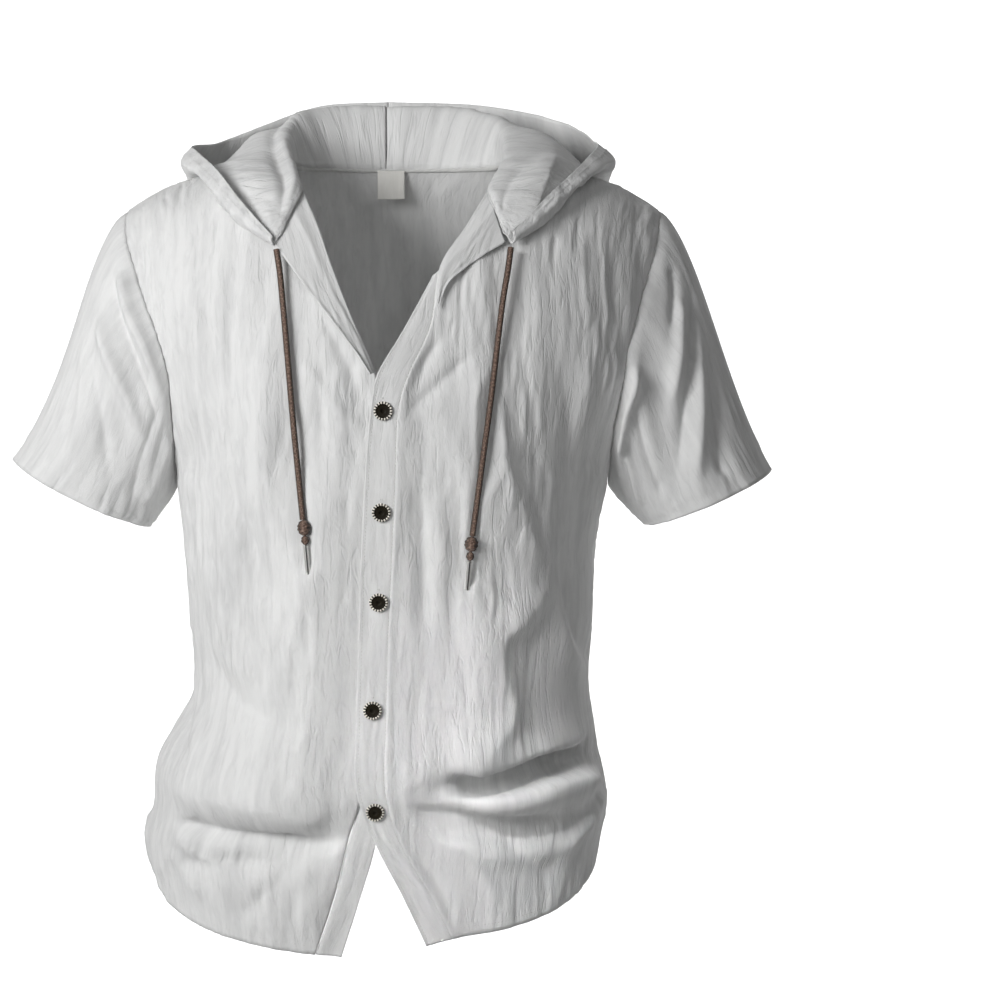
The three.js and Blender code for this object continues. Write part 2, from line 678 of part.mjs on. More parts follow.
// The cord's free ends: x z and clearance from the front, from the casing's mouth to the end knot.
const CORD = 2.75;
const CORD_RIGHT = [
  [-93.5, -68.3, 10.5],
  [-90, -90, 8],
  [-85.5, -136, 6],
  [-79, -216, 5.4],
  [-75, -262, 5.2],
  [-71, -306, 5.2],
];
const CORD_LEFT = [
  [113.5, -66.6, 10.5],
  [111, -86, 8],
  [105.5, -120, 6.4],
  [96, -199, 5.6],
  [88, -258, 5.4],
  [79.5, -321, 5.4],
];
const ENDS = {
  right: { rows: FRONT_RIGHT, path: CORD_RIGHT, knot: [-69.9, -313.3], stop: [-69, -324.4], tip: [-67.8, -342] },
  left: { rows: FRONT_LEFT, path: CORD_LEFT, knot: [78.4, -328.3], stop: [77.4, -339.4], tip: [75.8, -357] },
};
for (const [side, end] of Object.entries(ENDS)) {
  const points = end.path.map(([x, z, out]) => new THREE.Vector3(...onFront(end.rows, x, z, out)));
  const circle = new THREE.Shape().absarc(0, 0, CORD, 0, Math.PI * 2);
  const cord = new THREE.Mesh(
    new THREE.ExtrudeGeometry(circle, {
      extrudePath: new THREE.CatmullRomCurve3(points),
      steps: 20,
      curveSegments: 4,
    }),
    cordBrown,
  );
  cord.name = `cord_${side}`;
  shirt.add(cord);
  const knot = new THREE.Mesh(new THREE.SphereGeometry(1, 12, 8), cordBrown);
  knot.scale.set(6.3, 5.2, 6.9);
  knot.position.set(...onFront(end.rows, ...end.knot, side === "right" ? 5.9 : 6.6));
  knot.name = `knot_${side}`;
  const stop = new THREE.Mesh(new THREE.SphereGeometry(1, 10, 6), cordBrown);
  stop.scale.set(3.9, 3.6, 3.9);
  stop.position.set(...onFront(end.rows, ...end.stop, 5.8));
  stop.name = `stop_knot_${side}`;
  const tip = new THREE.Mesh(new THREE.CylinderGeometry(2.2, 2.2, 27, 12), tipMetal);
  tip.rotation.x = rad(90);
  tip.rotation.order = "YXZ";
  tip.position.set(...onFront(end.rows, ...end.tip, 5.2));
  tip.name = `tip_${side}`;
  shirt.add(knot, stop, tip);
}

export default shirt;
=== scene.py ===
# A hooded short-sleeved shirt in pale crinkled cotton, filled out as worn, its hood on the back.
# Forms are worked out in millimetres, and MM turns them into metres.
import math

import bpy
import numpy as np
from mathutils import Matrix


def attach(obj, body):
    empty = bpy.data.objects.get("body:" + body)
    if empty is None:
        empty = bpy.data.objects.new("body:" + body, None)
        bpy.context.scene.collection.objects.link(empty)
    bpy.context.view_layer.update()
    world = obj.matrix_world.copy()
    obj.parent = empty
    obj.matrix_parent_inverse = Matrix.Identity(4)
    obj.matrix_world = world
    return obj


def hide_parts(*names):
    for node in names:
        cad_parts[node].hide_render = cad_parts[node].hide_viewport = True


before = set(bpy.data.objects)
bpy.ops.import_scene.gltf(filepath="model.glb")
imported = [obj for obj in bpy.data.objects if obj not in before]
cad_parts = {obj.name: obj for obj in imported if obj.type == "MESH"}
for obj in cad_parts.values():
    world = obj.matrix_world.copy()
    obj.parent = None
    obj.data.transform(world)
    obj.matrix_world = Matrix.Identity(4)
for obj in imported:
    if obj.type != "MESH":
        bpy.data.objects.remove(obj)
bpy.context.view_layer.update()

MM = 0.001
SIDES = ("right", "left")

# Camera, at the photograph's angle in front of the shirt.
EYE = (0.104, -2.2, 0.0)
PITCH_DOWN = 8.0
MM_PER_PIXEL = 0.95
IMAGE_WIDTH = 1000
SENSOR = 36.0


def add_camera():
    data = bpy.data.cameras.new("camera")
    data.sensor_width = SENSOR
    distance = -EYE[1] / MM / math.cos(math.radians(PITCH_DOWN))
    data.lens = SENSOR * distance / MM_PER_PIXEL / IMAGE_WIDTH
    data.clip_end = 20
    camera = bpy.data.objects.new("camera", data)
    camera.location = EYE
    camera.rotation_euler = (math.radians(90 - PITCH_DOWN), 0, 0)
    bpy.context.collection.objects.link(camera)
    bpy.context.scene.camera = camera


add_camera()


# Curves, noise and small helpers, all on arrays.
def smooth(t):
    t = np.clip(t, 0, 1)
    return t * t * (3 - 2 * t)


def lerp(a, b, t):
    return a + (b - a) * t


def unit(v):
    return v / np.maximum(np.linalg.norm(v, axis=-1, keepdims=True), 1e-9)


def stack(*parts):
    return np.stack(np.broadcast_arrays(*parts), -1)


def hill(x, wide):
    return np.exp(-((x / wide) ** 2))


def run_of(path):
    """Length along a path, from its first point to each point."""
    return np.concatenate([[0], np.cumsum(np.linalg.norm(np.diff(path, axis=0), axis=1))])


def hermite(b, c, m0, m1, t):
    step = c - b
    return b + step * t + (m0 - step) * t * (1 - t) ** 2 - (m1 - step) * t * t * (1 - t)


def neighbours(rows, i):
    n = len(rows) - 1
    b = rows[i]
    c = rows[i + 1]
    a = np.where((i > 0)[..., None], rows[np.maximum(i - 1, 0)], 2 * b - c)
    d = np.where((i < n - 1)[..., None], rows[np.minimum(i + 2, n)], 2 * c - b)
    return a, b, c, d


def through(rows, k):
    rows = np.asarray(rows, float)
    k = np.asarray(k, float)
    i = np.clip(np.floor(k).astype(int), 0, len(rows) - 2)
    a, b, c, d = neighbours(rows, i)
    return hermite(b, c, (c - a) / 2, (d - b) / 2, (k - i)[..., None])


def through_uneven(guides, k):
    """The same through stacked guide points, one set for each k, without swinging wide of them."""
    n = guides.shape[0] - 1
    i = np.clip(np.floor(k).astype(int), 0, n - 1)

    def pick(j):
        return np.take_along_axis(guides, j[None, ..., None], 0)[0]

    def gap(p, q):
        return np.sqrt(np.maximum(np.linalg.norm(q - p, axis=-1, keepdims=True), 1e-6))

    b = pick(i)
    c = pick(i + 1)
    a = np.where((i > 0)[..., None], pick(np.maximum(i - 1, 0)), 2 * b - c)
    d = np.where((i < n - 1)[..., None], pick(np.minimum(i + 2, n)), 2 * c - b)
    d0 = gap(a, b)
    d1 = gap(b, c)
    d2 = gap(c, d)
    m0 = ((b - a) / d0 - (c - a) / (d0 + d1) + (c - b) / d1) * d1
    m1 = ((c - b) / d1 - (d - b) / (d1 + d2) + (d - c) / d2) * d1
    return hermite(b, c, m0, m1, (k - i)[..., None])


def lattice(i, j, seed):
    h = np.sin(i * 127.1 + j * 311.7 + seed * 74.7) * 43758.5453
    return h - np.floor(h)


def noise(x, y, seed):
    """Smooth noise from -1 to 1, one swell for each unit of x and y."""
    i = np.floor(x)
    j = np.floor(y)
    u = smooth(x - i)
    v = smooth(y - j)
    low = lerp(lattice(i, j, seed), lattice(i + 1, j, seed), u)
    high = lerp(lattice(i, j + 1, seed), lattice(i + 1, j + 1, seed), u)
    return lerp(low, high, v) * 2 - 1


def crinkle(across, along, seed):
    """Puckered streaks along the grain, lively in some patches and calm in others."""
    x = across + 3.4 * noise(across / 37, along / 52, seed + 5)
    x = x + 1.5 * noise(across / 9, along / 21, seed + 6)
    fine = 0.6 * noise(x / 2.7, along / 19, seed)
    middle = 0.95 * noise(x / 5.2, along / 37, seed + 1)
    dents = 0.9 * noise(x / 9, along / 24, seed + 2) * noise(across / 23, along / 60, seed + 4)
    broad = 1.7 * noise(x / 17, along / 120, seed + 7)
    lines = -0.55 * hill(noise(x / 8, along / 42, seed + 8), 0.16)
    patch = 0.25 + 0.95 * smooth(0.5 + 0.9 * noise(across / 41, along / 66, seed + 3))
    return (fine + middle + dents + lines) * patch + broad


def pucker(along, away, seed, reach=8.0):
    """Short gathers across a line of sewing."""
    return 0.5 * hill(away, reach) * noise(along / 4.2, away / 26, seed)


def creases(x, y, table):
    """Folds: each row has points, width left and right of travel, depth outwards and sag."""
    out = np.zeros_like(x)
    sag = np.zeros_like(x)
    for points, left, right, depth, droop in table:
        spans = len(points) - 1
        count = 6 * spans
        line = through(points, np.linspace(0, spans, count + 1))
        best = np.full_like(x, 1e9)
        turn = np.zeros_like(x)
        share = np.zeros_like(x)
        for i in range(count):
            dx, dy = line[i + 1] - line[i]
            rx = x - line[i][0]
            ry = y - line[i][1]
            u = np.clip((rx * dx + ry * dy) / (dx * dx + dy * dy), 0, 1)
            miss = np.hypot(rx - u * dx, ry - u * dy)
            near = miss < best
            best = np.where(near, miss, best)
            turn = np.where(near, dx * ry - dy * rx, turn)
            share = np.where(near, (i + u) / count, share)
        width = np.where(turn > 0, left, right)
        ends = smooth(share / 0.22) * smooth((1 - share) / 0.22)
        form = np.exp(-((best / width) ** 1.6)) * (0.15 + 0.85 * ends)
        form = form * smooth(2.2 - best / (width * 1.6) * 0.9)
        out += depth * form
        sag += droop * form
    return out, sag


# The garment's sections, as in the solids.
# Front sections from hem to shoulder: inner edge x y z, outer edge x y z, sweep in degrees.
ARMPIT = 7
TOP = 16
TOP_EDGE = TOP - 0.004
FRONT_RIGHT = np.array([
    [-65, -142, -709, -233, 0, -642, 90],
    [-47, -147, -655, -238, 0, -620, 90],
    [-34, -152, -602, -229, 2, -600, 90],
    [-20, -157, -550, -221, 4, -552, 90],
    [-20, -151, -490, -190, 4, -492, 90],
    [-18, -148, -420, -191, 2, -425, 90],
    [-15, -149, -340, -195, 0, -352, 90],
    [-11, -149, -270, -200, 0, -291, 90],
    [-8, -148, -235, -197.5, -45, -250, 72],
    [-7, -146, -204, -198, -65, -215, 64],
    [-6, -143, -176, -199, -75, -182, 58],
    [-25, -137, -130, -208, -73, -148, 54],
    [-42, -126, -88, -219, -65, -120, 50],
    [-58, -106, -45, -231, -47, -88, 45],
    [-72, -81, -17, -240, -32, -62, 40],
    [-84, -42, 0, -243, -17, -44, 32],
    [-91, 2, 7, -243, 2, -36, 20],
], float)
FRONT_LEFT = np.array([
    [61, -142, -693, 199, 0, -638, 90],
    [40, -147, -648, 202, 0, -621, 90],
    [15, -152, -602, 206, 2, -601, 90],
    [1, -157, -550, 199, 4, -553, 90],
    [2, -151, -490, 189, 4, -490, 90],
    [4, -148, -420, 192, 2, -430, 90],
    [8, -149, -340, 195, 0, -355, 90],
    [11.5, -149, -270, 206, 0, -291, 90],
    [12.4, -148, -235, 208, -45, -250, 72],
    [15, -146, -204, 212, -64, -216, 64],
    [24, -144, -176, 217, -75, -188, 58],
    [43, -139, -134, 222, -74, -155, 54],
    [51, -129, -84, 231, -66, -124, 50],
    [72, -110, -52, 241, -48, -92, 45],
    [92, -80, -20, 249, -33, -64, 40],
    [104, -42, 0, 252, -17, -45, 32],
    [109, 2, 7, 252, 2, -36, 20],
], float)
FRONT = {"right": FRONT_RIGHT, "left": FRONT_LEFT}

# Back sections: centre y and z, then the armhole's back edge as x offset, y, z and sweep.
BACK_CENTRE = [
    [112, -655], [118, -628], [122, -598], [121, -550], [108, -490], [102, -420],
    [106, -340], [114, -266], [118, -222], [120, -184], [119, -148], [115, -112],
    [108, -76], [99, -43], [90, -18], [84, -5], [80, 2],
]
BACK_ARMHOLE = [
    [0, 0, -291, 90], [0, 42, -252, 74], [3, 60, -216, 66], [7, 68, -184, 60], [13, 67, -150, 56],
    [22, 58, -120, 52], [32, 43, -90, 47], [39, 32, -62, 42], [43, 18, -44, 34], [43, 2, -36, 20],
]

# The body's largest folds: centre x z, lie in degrees, half length, half width, depth.
FRONT_FOLDS = [
    (-110, -622, 8, 105, 15, -10),
    (-120, -580, 4, 95, 26, 7),
    (-205, -655, 35, 40, 11, -6),
    (125, -540, 6, 75, 12, -11),
    (135, -568, -10, 80, 15, 8),
    (95, -596, -6, 75, 12, -6),
    (110, -330, -62, 190, 17, 4),
    (-95, -455, 78, 110, 20, 3),
    (-130, -300, 70, 120, 20, 3),
]
BACK_FOLDS = [
    (0, -556, 2, 150, 20, 8),
    (-20, -596, -4, 140, 13, -8),
    (90, -520, 14, 90, 14, -6),
    (-110, -510, -12, 85, 14, -6),
    (60, -330, 76, 150, 20, 4),
    (-70, -300, 104, 150, 20, 4),
]


def fold_depth(folds, x, z):
    total = np.zeros_like(x)
    for x0, z0, lie, long, wide, depth in folds:
        c = math.cos(math.radians(lie))
        s = math.sin(math.radians(lie))
        along = ((x - x0) * c + (z - z0) * s) / long
        across = ((z - z0) * c - (x - x0) * s) / wide
        total = total + depth * np.exp(-(along ** 4) - across ** 2)
    return total


def fold_fade(t, k):
    return smooth(t / 0.25) * (1 - smooth((t - 0.8) / 0.2)) * (1 - smooth((k - 12) / 2))


def outer_edge(rows, k):
    low = through(rows[:ARMPIT + 1, 3:], np.minimum(k, ARMPIT))
    high = through(rows[ARMPIT:, 3:], np.maximum(k - ARMPIT, 0))
    return np.where((k <= ARMPIT)[..., None], low, high)


def section(inner, outer, t):
    arc = np.radians(outer[..., 3])
    reach = np.sin(t * arc) / np.sin(arc)
    drop = np.maximum((np.cos(t * arc) - np.cos(arc)) / (1 - np.cos(arc)), 0)
    ease = 0.2 + outer[..., 3] / 360
    x = lerp(inner[..., 0], outer[..., 0], reach)
    y = lerp(outer[..., 1], inner[..., 1], drop ** 0.92)
    z = lerp(inner[..., 2], outer[..., 2], ease * t + (1 - ease) * t ** 3)
    return stack(x, y, z)


def front(rows, t, k):
    t, k = np.broadcast_arrays(np.asarray(t, float), np.asarray(k, float))
    p = section(through(rows[:, :3], k), outer_edge(rows, k), t)
    p[..., 1] -= fold_depth(FRONT_FOLDS, p[..., 0], p[..., 2]) * fold_fade(t, k)
    return p


NECK_CENTRE = (-4, 80, 2)
NECK_SHARE = 0.4


def back_neck(rows, a):
    end = rows[TOP]
    x = lerp(NECK_CENTRE[0], end[0], np.sin(a * np.pi / 2))
    y = lerp(end[1], NECK_CENTRE[1], np.cos(a * np.pi / 2))
    return stack(x, y, lerp(NECK_CENTRE[2], end[2], a * a))


def back_half(rows, t, k):
    t, k = np.broadcast_arrays(np.asarray(t, float), np.asarray(k, float))
    centre = through(BACK_CENTRE, k)
    side = np.sign(rows[0][0])
    hole = np.array(BACK_ARMHOLE, float)
    hole[:, 0] = rows[ARMPIT][3] + side * hole[:, 0]
    hole[-1] = rows[TOP][3:]
    outer = np.where(
        (k <= ARMPIT)[..., None],
        outer_edge(rows, np.minimum(k, ARMPIT)),
        through(hole, np.maximum(k - ARMPIT, 0)),
    )
    inner = stack(NECK_CENTRE[0] * smooth((k - 10) / 6), centre[..., 0], centre[..., 1])
    p = section(inner, outer, t)
    p[..., 1] += fold_depth(BACK_FOLDS, p[..., 0], p[..., 2]) * fold_fade(np.maximum(t, 0.25), k)
    neck = back_neck(rows, np.clip(t / NECK_SHARE, 0, 1))
    past_neck = np.clip((t - NECK_SHARE) / (1 - NECK_SHARE), 0, 1)
    shoulder = front(rows, past_neck, np.full_like(k, TOP))
    top = np.where((t < NECK_SHARE)[..., None], neck, shoulder)
    return lerp(p, top, smooth((k - 13) / 3)[..., None])


def back(t, k):
    t, k = np.broadcast_arrays(np.asarray(t, float), np.asarray(k, float))
    p = np.where(
        (t < 0)[..., None],
        back_half(FRONT_RIGHT, np.abs(t), k),
        back_half(FRONT_LEFT, np.abs(t), k),
    )
    p[..., 1] += 0.3 * smooth(k - 15)
    return p


def armhole(rows, turn):
    span = TOP - ARMPIT
    turn = np.mod(turn, 1)
    down = front(rows, np.ones_like(turn), np.clip(TOP - turn * 2 * span, ARMPIT, TOP))
    rise = np.clip(ARMPIT + (turn - 0.5) * 2 * span, ARMPIT, TOP)
    up = back_half(rows, np.ones_like(turn), rise)
    return np.where((turn <= 0.5)[..., None], down, up)


# Sleeves: corners of the cuff (x z), and how the sleeve leaves the armhole and arrives there,
# each on the upper side and then on the under side.
CUFF_DEPTH = 60
SLEEVES = {
    "right": dict(
        cuff=[(-356, -268), (-227, -333)],
        leave=[(-130, -90), (-18, -45)],
        arrive=[(-190, -230), (-30, -42)],
    ),
    "left": dict(
        cuff=[(361, -279), (241, -332)],
        leave=[(115, -80), (20, -45)],
        arrive=[(140, -225), (32, -42)],
    ),
}
SLEEVE_FOLDS = [
    (0.2, 0.45, 0.5, 0.45, 0.045, -5),
    (0.29, 0.6, 0.35, 0.4, 0.04, 4),
    (0.36, 0.5, 0.25, 0.4, 0.04, -4),
    (0.7, 0.5, -0.35, 0.45, 0.05, -4),
    (0.82, 0.55, -0.45, 0.4, 0.045, 4),
]


def sleeve(side, turn, w):
    turn, w = np.broadcast_arrays(np.asarray(turn, float), np.asarray(w, float))
    phase = turn * 2 * np.pi
    c = (1 + np.cos(phase)) / 2
    start = armhole(FRONT[side], turn)

    def pair(name):
        high, low = SLEEVES[side][name]
        return stack(lerp(low[0], high[0], c), 0 * c, lerp(low[1], high[1], c))

    end = pair("cuff")
    end[..., 1] = -CUFF_DEPTH * np.sin(phase)
    leave = pair("leave")
    arrive = pair("arrive")
    w = w[..., None]
    settle = lerp(start, end, w * w * (3 - 2 * w))
    return settle + leave * w * (1 - w) ** 2 - arrive * w * w * (1 - w)


def sleeve_fold(turn, w):
    total = np.zeros_like(w)
    for t0, w0, lie, long, wide, depth in SLEEVE_FOLDS:
        along = (w - w0) / long
        across = (turn - t0 - (w - w0) * lie * 0.2) / wide
        total = total + depth * np.exp(-(along ** 4) - across ** 2)
    return total * np.sqrt(np.sin(np.pi * np.clip(w, 0, 1)).clip(0))


# Hood stations from the front corner to the centre back, each with guide points x y z: neck seam,
# roll, middle of the falling layer, fold at the bottom, rising layer, face edge.
HOOD_RIGHT = np.array([
    [
        [-90, -118, -56], [-91, -119, -57], [-92.5, -120.5, -59],
        [-95, -122, -65], [-97, -126, -62], [-97, -125, -56],
    ],
    [
        [-81, -106, -35], [-84, -108, -33], [-100, -110, -37],
        [-127, -102, -47], [-131, -107, -38], [-125, -104, -27],
    ],
    [
        [-73, -84, -15], [-77, -83, -10], [-108, -86, -12],
        [-156, -64, -16], [-162, -68, -9], [-152, -65, 2],
    ],
    [[-84, -42, 1], [-83, -46, 5], [-124, -44, 7], [-180, -20, 0], [-187, -21, 7], [-176, -13, 18]],
    [[-91, 2, 8], [-91, -6, 22], [-132, 2, 17], [-188, 26, -4], [-195, 28, 7], [-185, 26, 24]],
    [[-84, 38, 7.3], [-95, 34, 38], [-130, 50, 31], [-178, 78, -38], [-186, 84, -8], [-168, 88, 28]],
    [[-64, 61, 5], [-88, 66, 55], [-108, 88, 24], [-140, 122, -95], [-144, 133, -30], [-128, 116, 44]],
    [[-36, 75, 3], [-52, 87, 61], [-62, 110, 22], [-82, 140, -142], [-86, 152, -45], [-72, 143, 64]],
    [[-6, 80, 3], [-6, 92, 62], [-6, 118, 17], [-6, 145, -165], [-6, 160, -50], [-6, 149, 68]],
], float)
HOOD_LEFT = np.array([
    [
        [107, -117, -54], [108, -118, -55], [110, -119.5, -57],
        [114, -121, -63], [116, -125, -60], [115, -124, -53],
    ],
    [
        [100, -104, -36], [103, -105, -33], [118, -107, -36],
        [147, -97, -44], [151, -101, -32], [147, -98, -21],
    ],
    [[93, -82, -18], [97, -82, -13], [126, -82, -11], [172, -64, -15], [180, -66, -8], [172, -61, 1]],
    [[104, -42, 1], [106, -46, 7], [142, -44, 9], [195, -18, -1], [203, -16, 7], [190, -9, 18]],
    [[109, 2, 8], [109, 2, 21], [152, 6, 20], [203, 26, -6], [211, 30, 9], [194, 26, 26]],
    [[101, 38, 7.3], [107, 40, 37], [148, 54, 33], [196, 78, -40], [203, 84, -8], [178, 78, 40]],
    [[76, 61, 5], [98, 72, 53], [122, 92, 28], [150, 122, -96], [157, 132, -28], [146, 104, 53]],
    [[38, 75, 3], [58, 90, 61], [66, 112, 22], [78, 140, -142], [84, 152, -45], [80, 143, 65]],
    [[-6, 80, 3], [-6, 92, 62], [-6, 118, 17], [-6, 145, -165], [-6, 160, -50], [-6, 149, 68]],
], float)


def hood(stations, u, v):
    u, v = np.broadcast_arrays(np.asarray(u, float), np.asarray(v, float))
    guides = np.stack([through(stations[:, g], u) for g in range(stations.shape[1])])
    return through_uneven(guides, v)


# Where the front of the body is at a given x and z.
def on_front(rows, x, z):
    x, z = np.broadcast_arrays(np.asarray(x, float), np.asarray(z, float))
    ts, ks = np.meshgrid(np.linspace(0, 1, 41), np.linspace(0, TOP, 65))
    known = front(rows, ts, ks).reshape(-1, 3)
    miss = (x[..., None] - known[:, 0]) ** 2 + (z[..., None] - known[:, 2]) ** 2
    best = miss.argmin(-1)
    t = ts.ravel()[best]
    k = ks.ravel()[best]
    e = 1e-4
    for _ in range(6):
        p = front(rows, t, k)
        pt = (front(rows, t + e, k) - p) / e
        pk = (front(rows, t, k + e) - p) / e
        area = pt[..., 0] * pk[..., 2] - pk[..., 0] * pt[..., 2]
        mx = x - p[..., 0]
        mz = z - p[..., 2]
        t = np.clip(t + (mx * pk[..., 2] - mz * pk[..., 0]) / area, -0.1, 1)
        k = np.clip(k + (pt[..., 0] * mz - pt[..., 2] * mx) / area, 0, TOP)
    return stack(x, front(rows, t, k)[..., 1], z), t, k


# Folds of the right front (viewer's left), x z in millimetres.
RIGHT_FOLDS = [
    ([(-159, -114), (-151, -185), (-161, -268)], 6, 8, -3.2, 0),
    ([(-132, -122), (-136, -202), (-128, -275)], 5, 7, -2.6, 0),
    ([(-187, -150), (-171, -204), (-181, -281)], 8, 8, -3.6, 0),
    ([(-150, -262), (-123, -333), (-99, -397)], 17, 10, -8, 0),
    ([(-170, -330), (-150, -410), (-128, -470)], 14, 14, 4, 0),
    ([(-41, -250), (-47, -340), (-53, -430), (-58, -500), (-74, -548)], 17, 40, 10, 0),
    ([(-210, -566), (-150, -563), (-90, -565), (-42, -568)], 46, 17, 14, 4),
    ([(-192, -590), (-180, -601), (-124, -605), (-68, -606), (-32, -598)], 14, 5, -15, 0),
    ([(-190, -622), (-120, -636), (-60, -628)], 16, 18, 5, 0),
    ([(-199, -607), (-180, -620), (-159, -628)], 5, 7, 3.5, 1),
    ([(-189, -431), (-188, -495), (-181, -560)], 4, 17, -7, 0),
    ([(-12, -216), (-32, -167), (-55, -122)], 5, 7, -3, 0),
    ([(-14, -229), (-44, -202), (-75, -158)], 7, 5, 3, 0),
    ([(-100, -112), (-107, -219), (-105, -345)], 14, 9, 5, 0),
    ([(-72, -190), (-76, -280), (-70, -360)], 8, 12, -4, 0),
    ([(-177, -432), (-132, -477), (-72, -503)], 12, 9, -4, 0),
    ([(-29, -600), (-48, -641), (-78, -686)], 10, 12, 3.5, 0),
    ([(-77, -621), (-114, -655), (-134, -680)], 9, 8, -3.5, 0),
    ([(-37, -616), (-44, -643), (-53, -675)], 6, 6, -2.5, 0),
    ([(-206, -625), (-190, -645), (-165, -662)], 9, 9, 4, 1),
]

# Folds of the left front (viewer's right).
LEFT_FOLDS = [
    ([(18, -205), (31, -173), (53, -145)], 5, 6, -3, 0),
    ([(20, -213), (50, -186), (83, -156)], 5, 6, -3, 0),
    ([(82, -170), (112, -274), (143, -372)], 12, 22, 9, 0),
    ([(157, -149), (173, -269), (181, -396)], 14, 15, -5, 0),
    (
        [(147, -365), (128, -396), (104, -418), (104, -450), (110, -484), (99, -508), (51, -536)],
        12, 42, 13, 0,
    ),
    ([(58, -533), (105, -526), (150, -517), (192, -524)], 16, 9, 8, 9),
    ([(52, -549), (103, -545), (150, -536), (191, -543)], 8, 15, -22, 0),
    ([(56, -560), (123, -564), (176, -561), (198, -578)], 7, 16, 15, 0),
    ([(197, -580), (190, -602), (157, -626)], 8, 9, 6, 0),
    ([(10, -568), (64, -578), (122, -589), (168, -589)], 9, 13, -9, 0),
    ([(160, -345), (166, -395), (181, -440), (196, -472)], 12, 4, -5, 0),
    ([(40, -600), (110, -618), (160, -622)], 14, 16, 5, 0),
    ([(103, -599), (132, -627), (159, -643)], 10, 10, -4, 0),
    ([(154, -363), (163, -417), (181, -467)], 5, 9, 4, 0),
    ([(34, -271), (37, -343), (34, -415)], 8, 8, -4, 0),
    ([(72, -250), (80, -330), (76, -400)], 10, 8, 4, 0),
    ([(59, -339), (63, -408), (76, -473)], 11, 9, -4, 0),
    ([(16, -605), (42, -651), (60, -687)], 8, 8, -3, 0),
    ([(72, -610), (92, -640), (104, -663)], 9, 9, 3.5, 0),
    ([(32, -587), (76, -610), (122, -626)], 9, 9, 3, 0),
]
FRONT_CREASES = {"right": RIGHT_FOLDS, "left": LEFT_FOLDS}

BACK_CREASES = [
    ([(-150, -120), (-120, -190), (-128, -270)], 9, 8, -4, 0),
    ([(150, -125), (126, -200), (118, -285)], 8, 9, -4, 0),
    ([(-60, -200), (-52, -300), (-66, -420)], 14, 10, 3.5, 0),
    ([(48, -190), (66, -310), (52, -430)], 10, 14, 3.5, 0),
    ([(-5, -240), (4, -350), (-8, -460)], 10, 9, -3, 0),
    ([(-175, -470), (-110, -497), (-40, -500)], 12, 9, -5, 0),
    ([(160, -462), (96, -488), (30, -512)], 9, 12, -5, 0),
    ([(-190, -556), (-90, -548), (10, -556), (110, -548), (190, -558)], 20, 24, 7, 4),
    ([(-180, -592), (-80, -598), (20, -594), (120, -600), (180, -592)], 6, 11, -9, 0),
    ([(-120, -606), (-104, -628), (-96, -646)], 9, 9, 3, 0),
    ([(10, -606), (22, -628), (18, -648)], 8, 8, -3, 0),
    ([(110, -606), (96, -626), (100, -645)], 9, 9, 3, 0),
]

# Folds of a sleeve, on a turn counted as 480 and a length from the armhole counted as 190.
SLEEVE_TURN = 480
SLEEVE_RUN = 190
SLEEVE_CREASES = {
    "right": [
        ([(72, 12), (95, 24), (125, 27), (170, 27)], 9, 11, -8, 0),
        ([(66, 30), (100, 43), (132, 52), (172, 55)], 6, 7, 4.5, 0),
        ([(74, 62), (95, 70), (125, 80), (162, 88)], 9, 10, -7, 0),
        ([(84, 90), (110, 115), (140, 150)], 9, 8, 3, 0),
        ([(60, 90), (84, 120), (96, 165)], 8, 8, -3, 0),
        ([(170, 30), (168, 100), (176, 170)], 8, 8, 3.5, 0),
        ([(205, 15), (200, 90), (190, 150)], 8, 7, -4, 0),
        ([(300, 20), (318, 90), (330, 150)], 8, 9, -4, 0),
        ([(360, 25), (372, 90), (368, 160)], 9, 9, 4, 0),
        ([(420, 20), (430, 80), (440, 140)], 8, 9, -3.5, 0),
    ],
    "left": [
        ([(45, 60), (76, 86), (98, 98), (140, 142)], 8, 8, 5, 0),
        ([(52, 70), (88, 112), (124, 162)], 7, 7, -5, 0),
        ([(56, 106), (75, 135), (102, 178)], 8, 7, 4.5, 0),
        ([(60, 25), (72, 40), (95, 55)], 7, 6, 4, 0),
        ([(68, 48), (90, 66), (122, 96)], 7, 7, -5, 0),
        ([(138, 24), (170, 36), (212, 58)], 11, 12, -8, 0),
        ([(164, 25), (170, 100), (166, 160)], 9, 8, 4, 0),
        ([(198, 12), (196, 90), (204, 150)], 8, 7, -4.5, 0),
        ([(310, 20), (322, 90), (316, 160)], 9, 8, 4, 0),
        ([(352, 15), (360, 80), (376, 150)], 8, 8, -4, 0),
        ([(428, 20), (420, 90), (428, 150)], 9, 9, 3.5, 0),
    ],
}

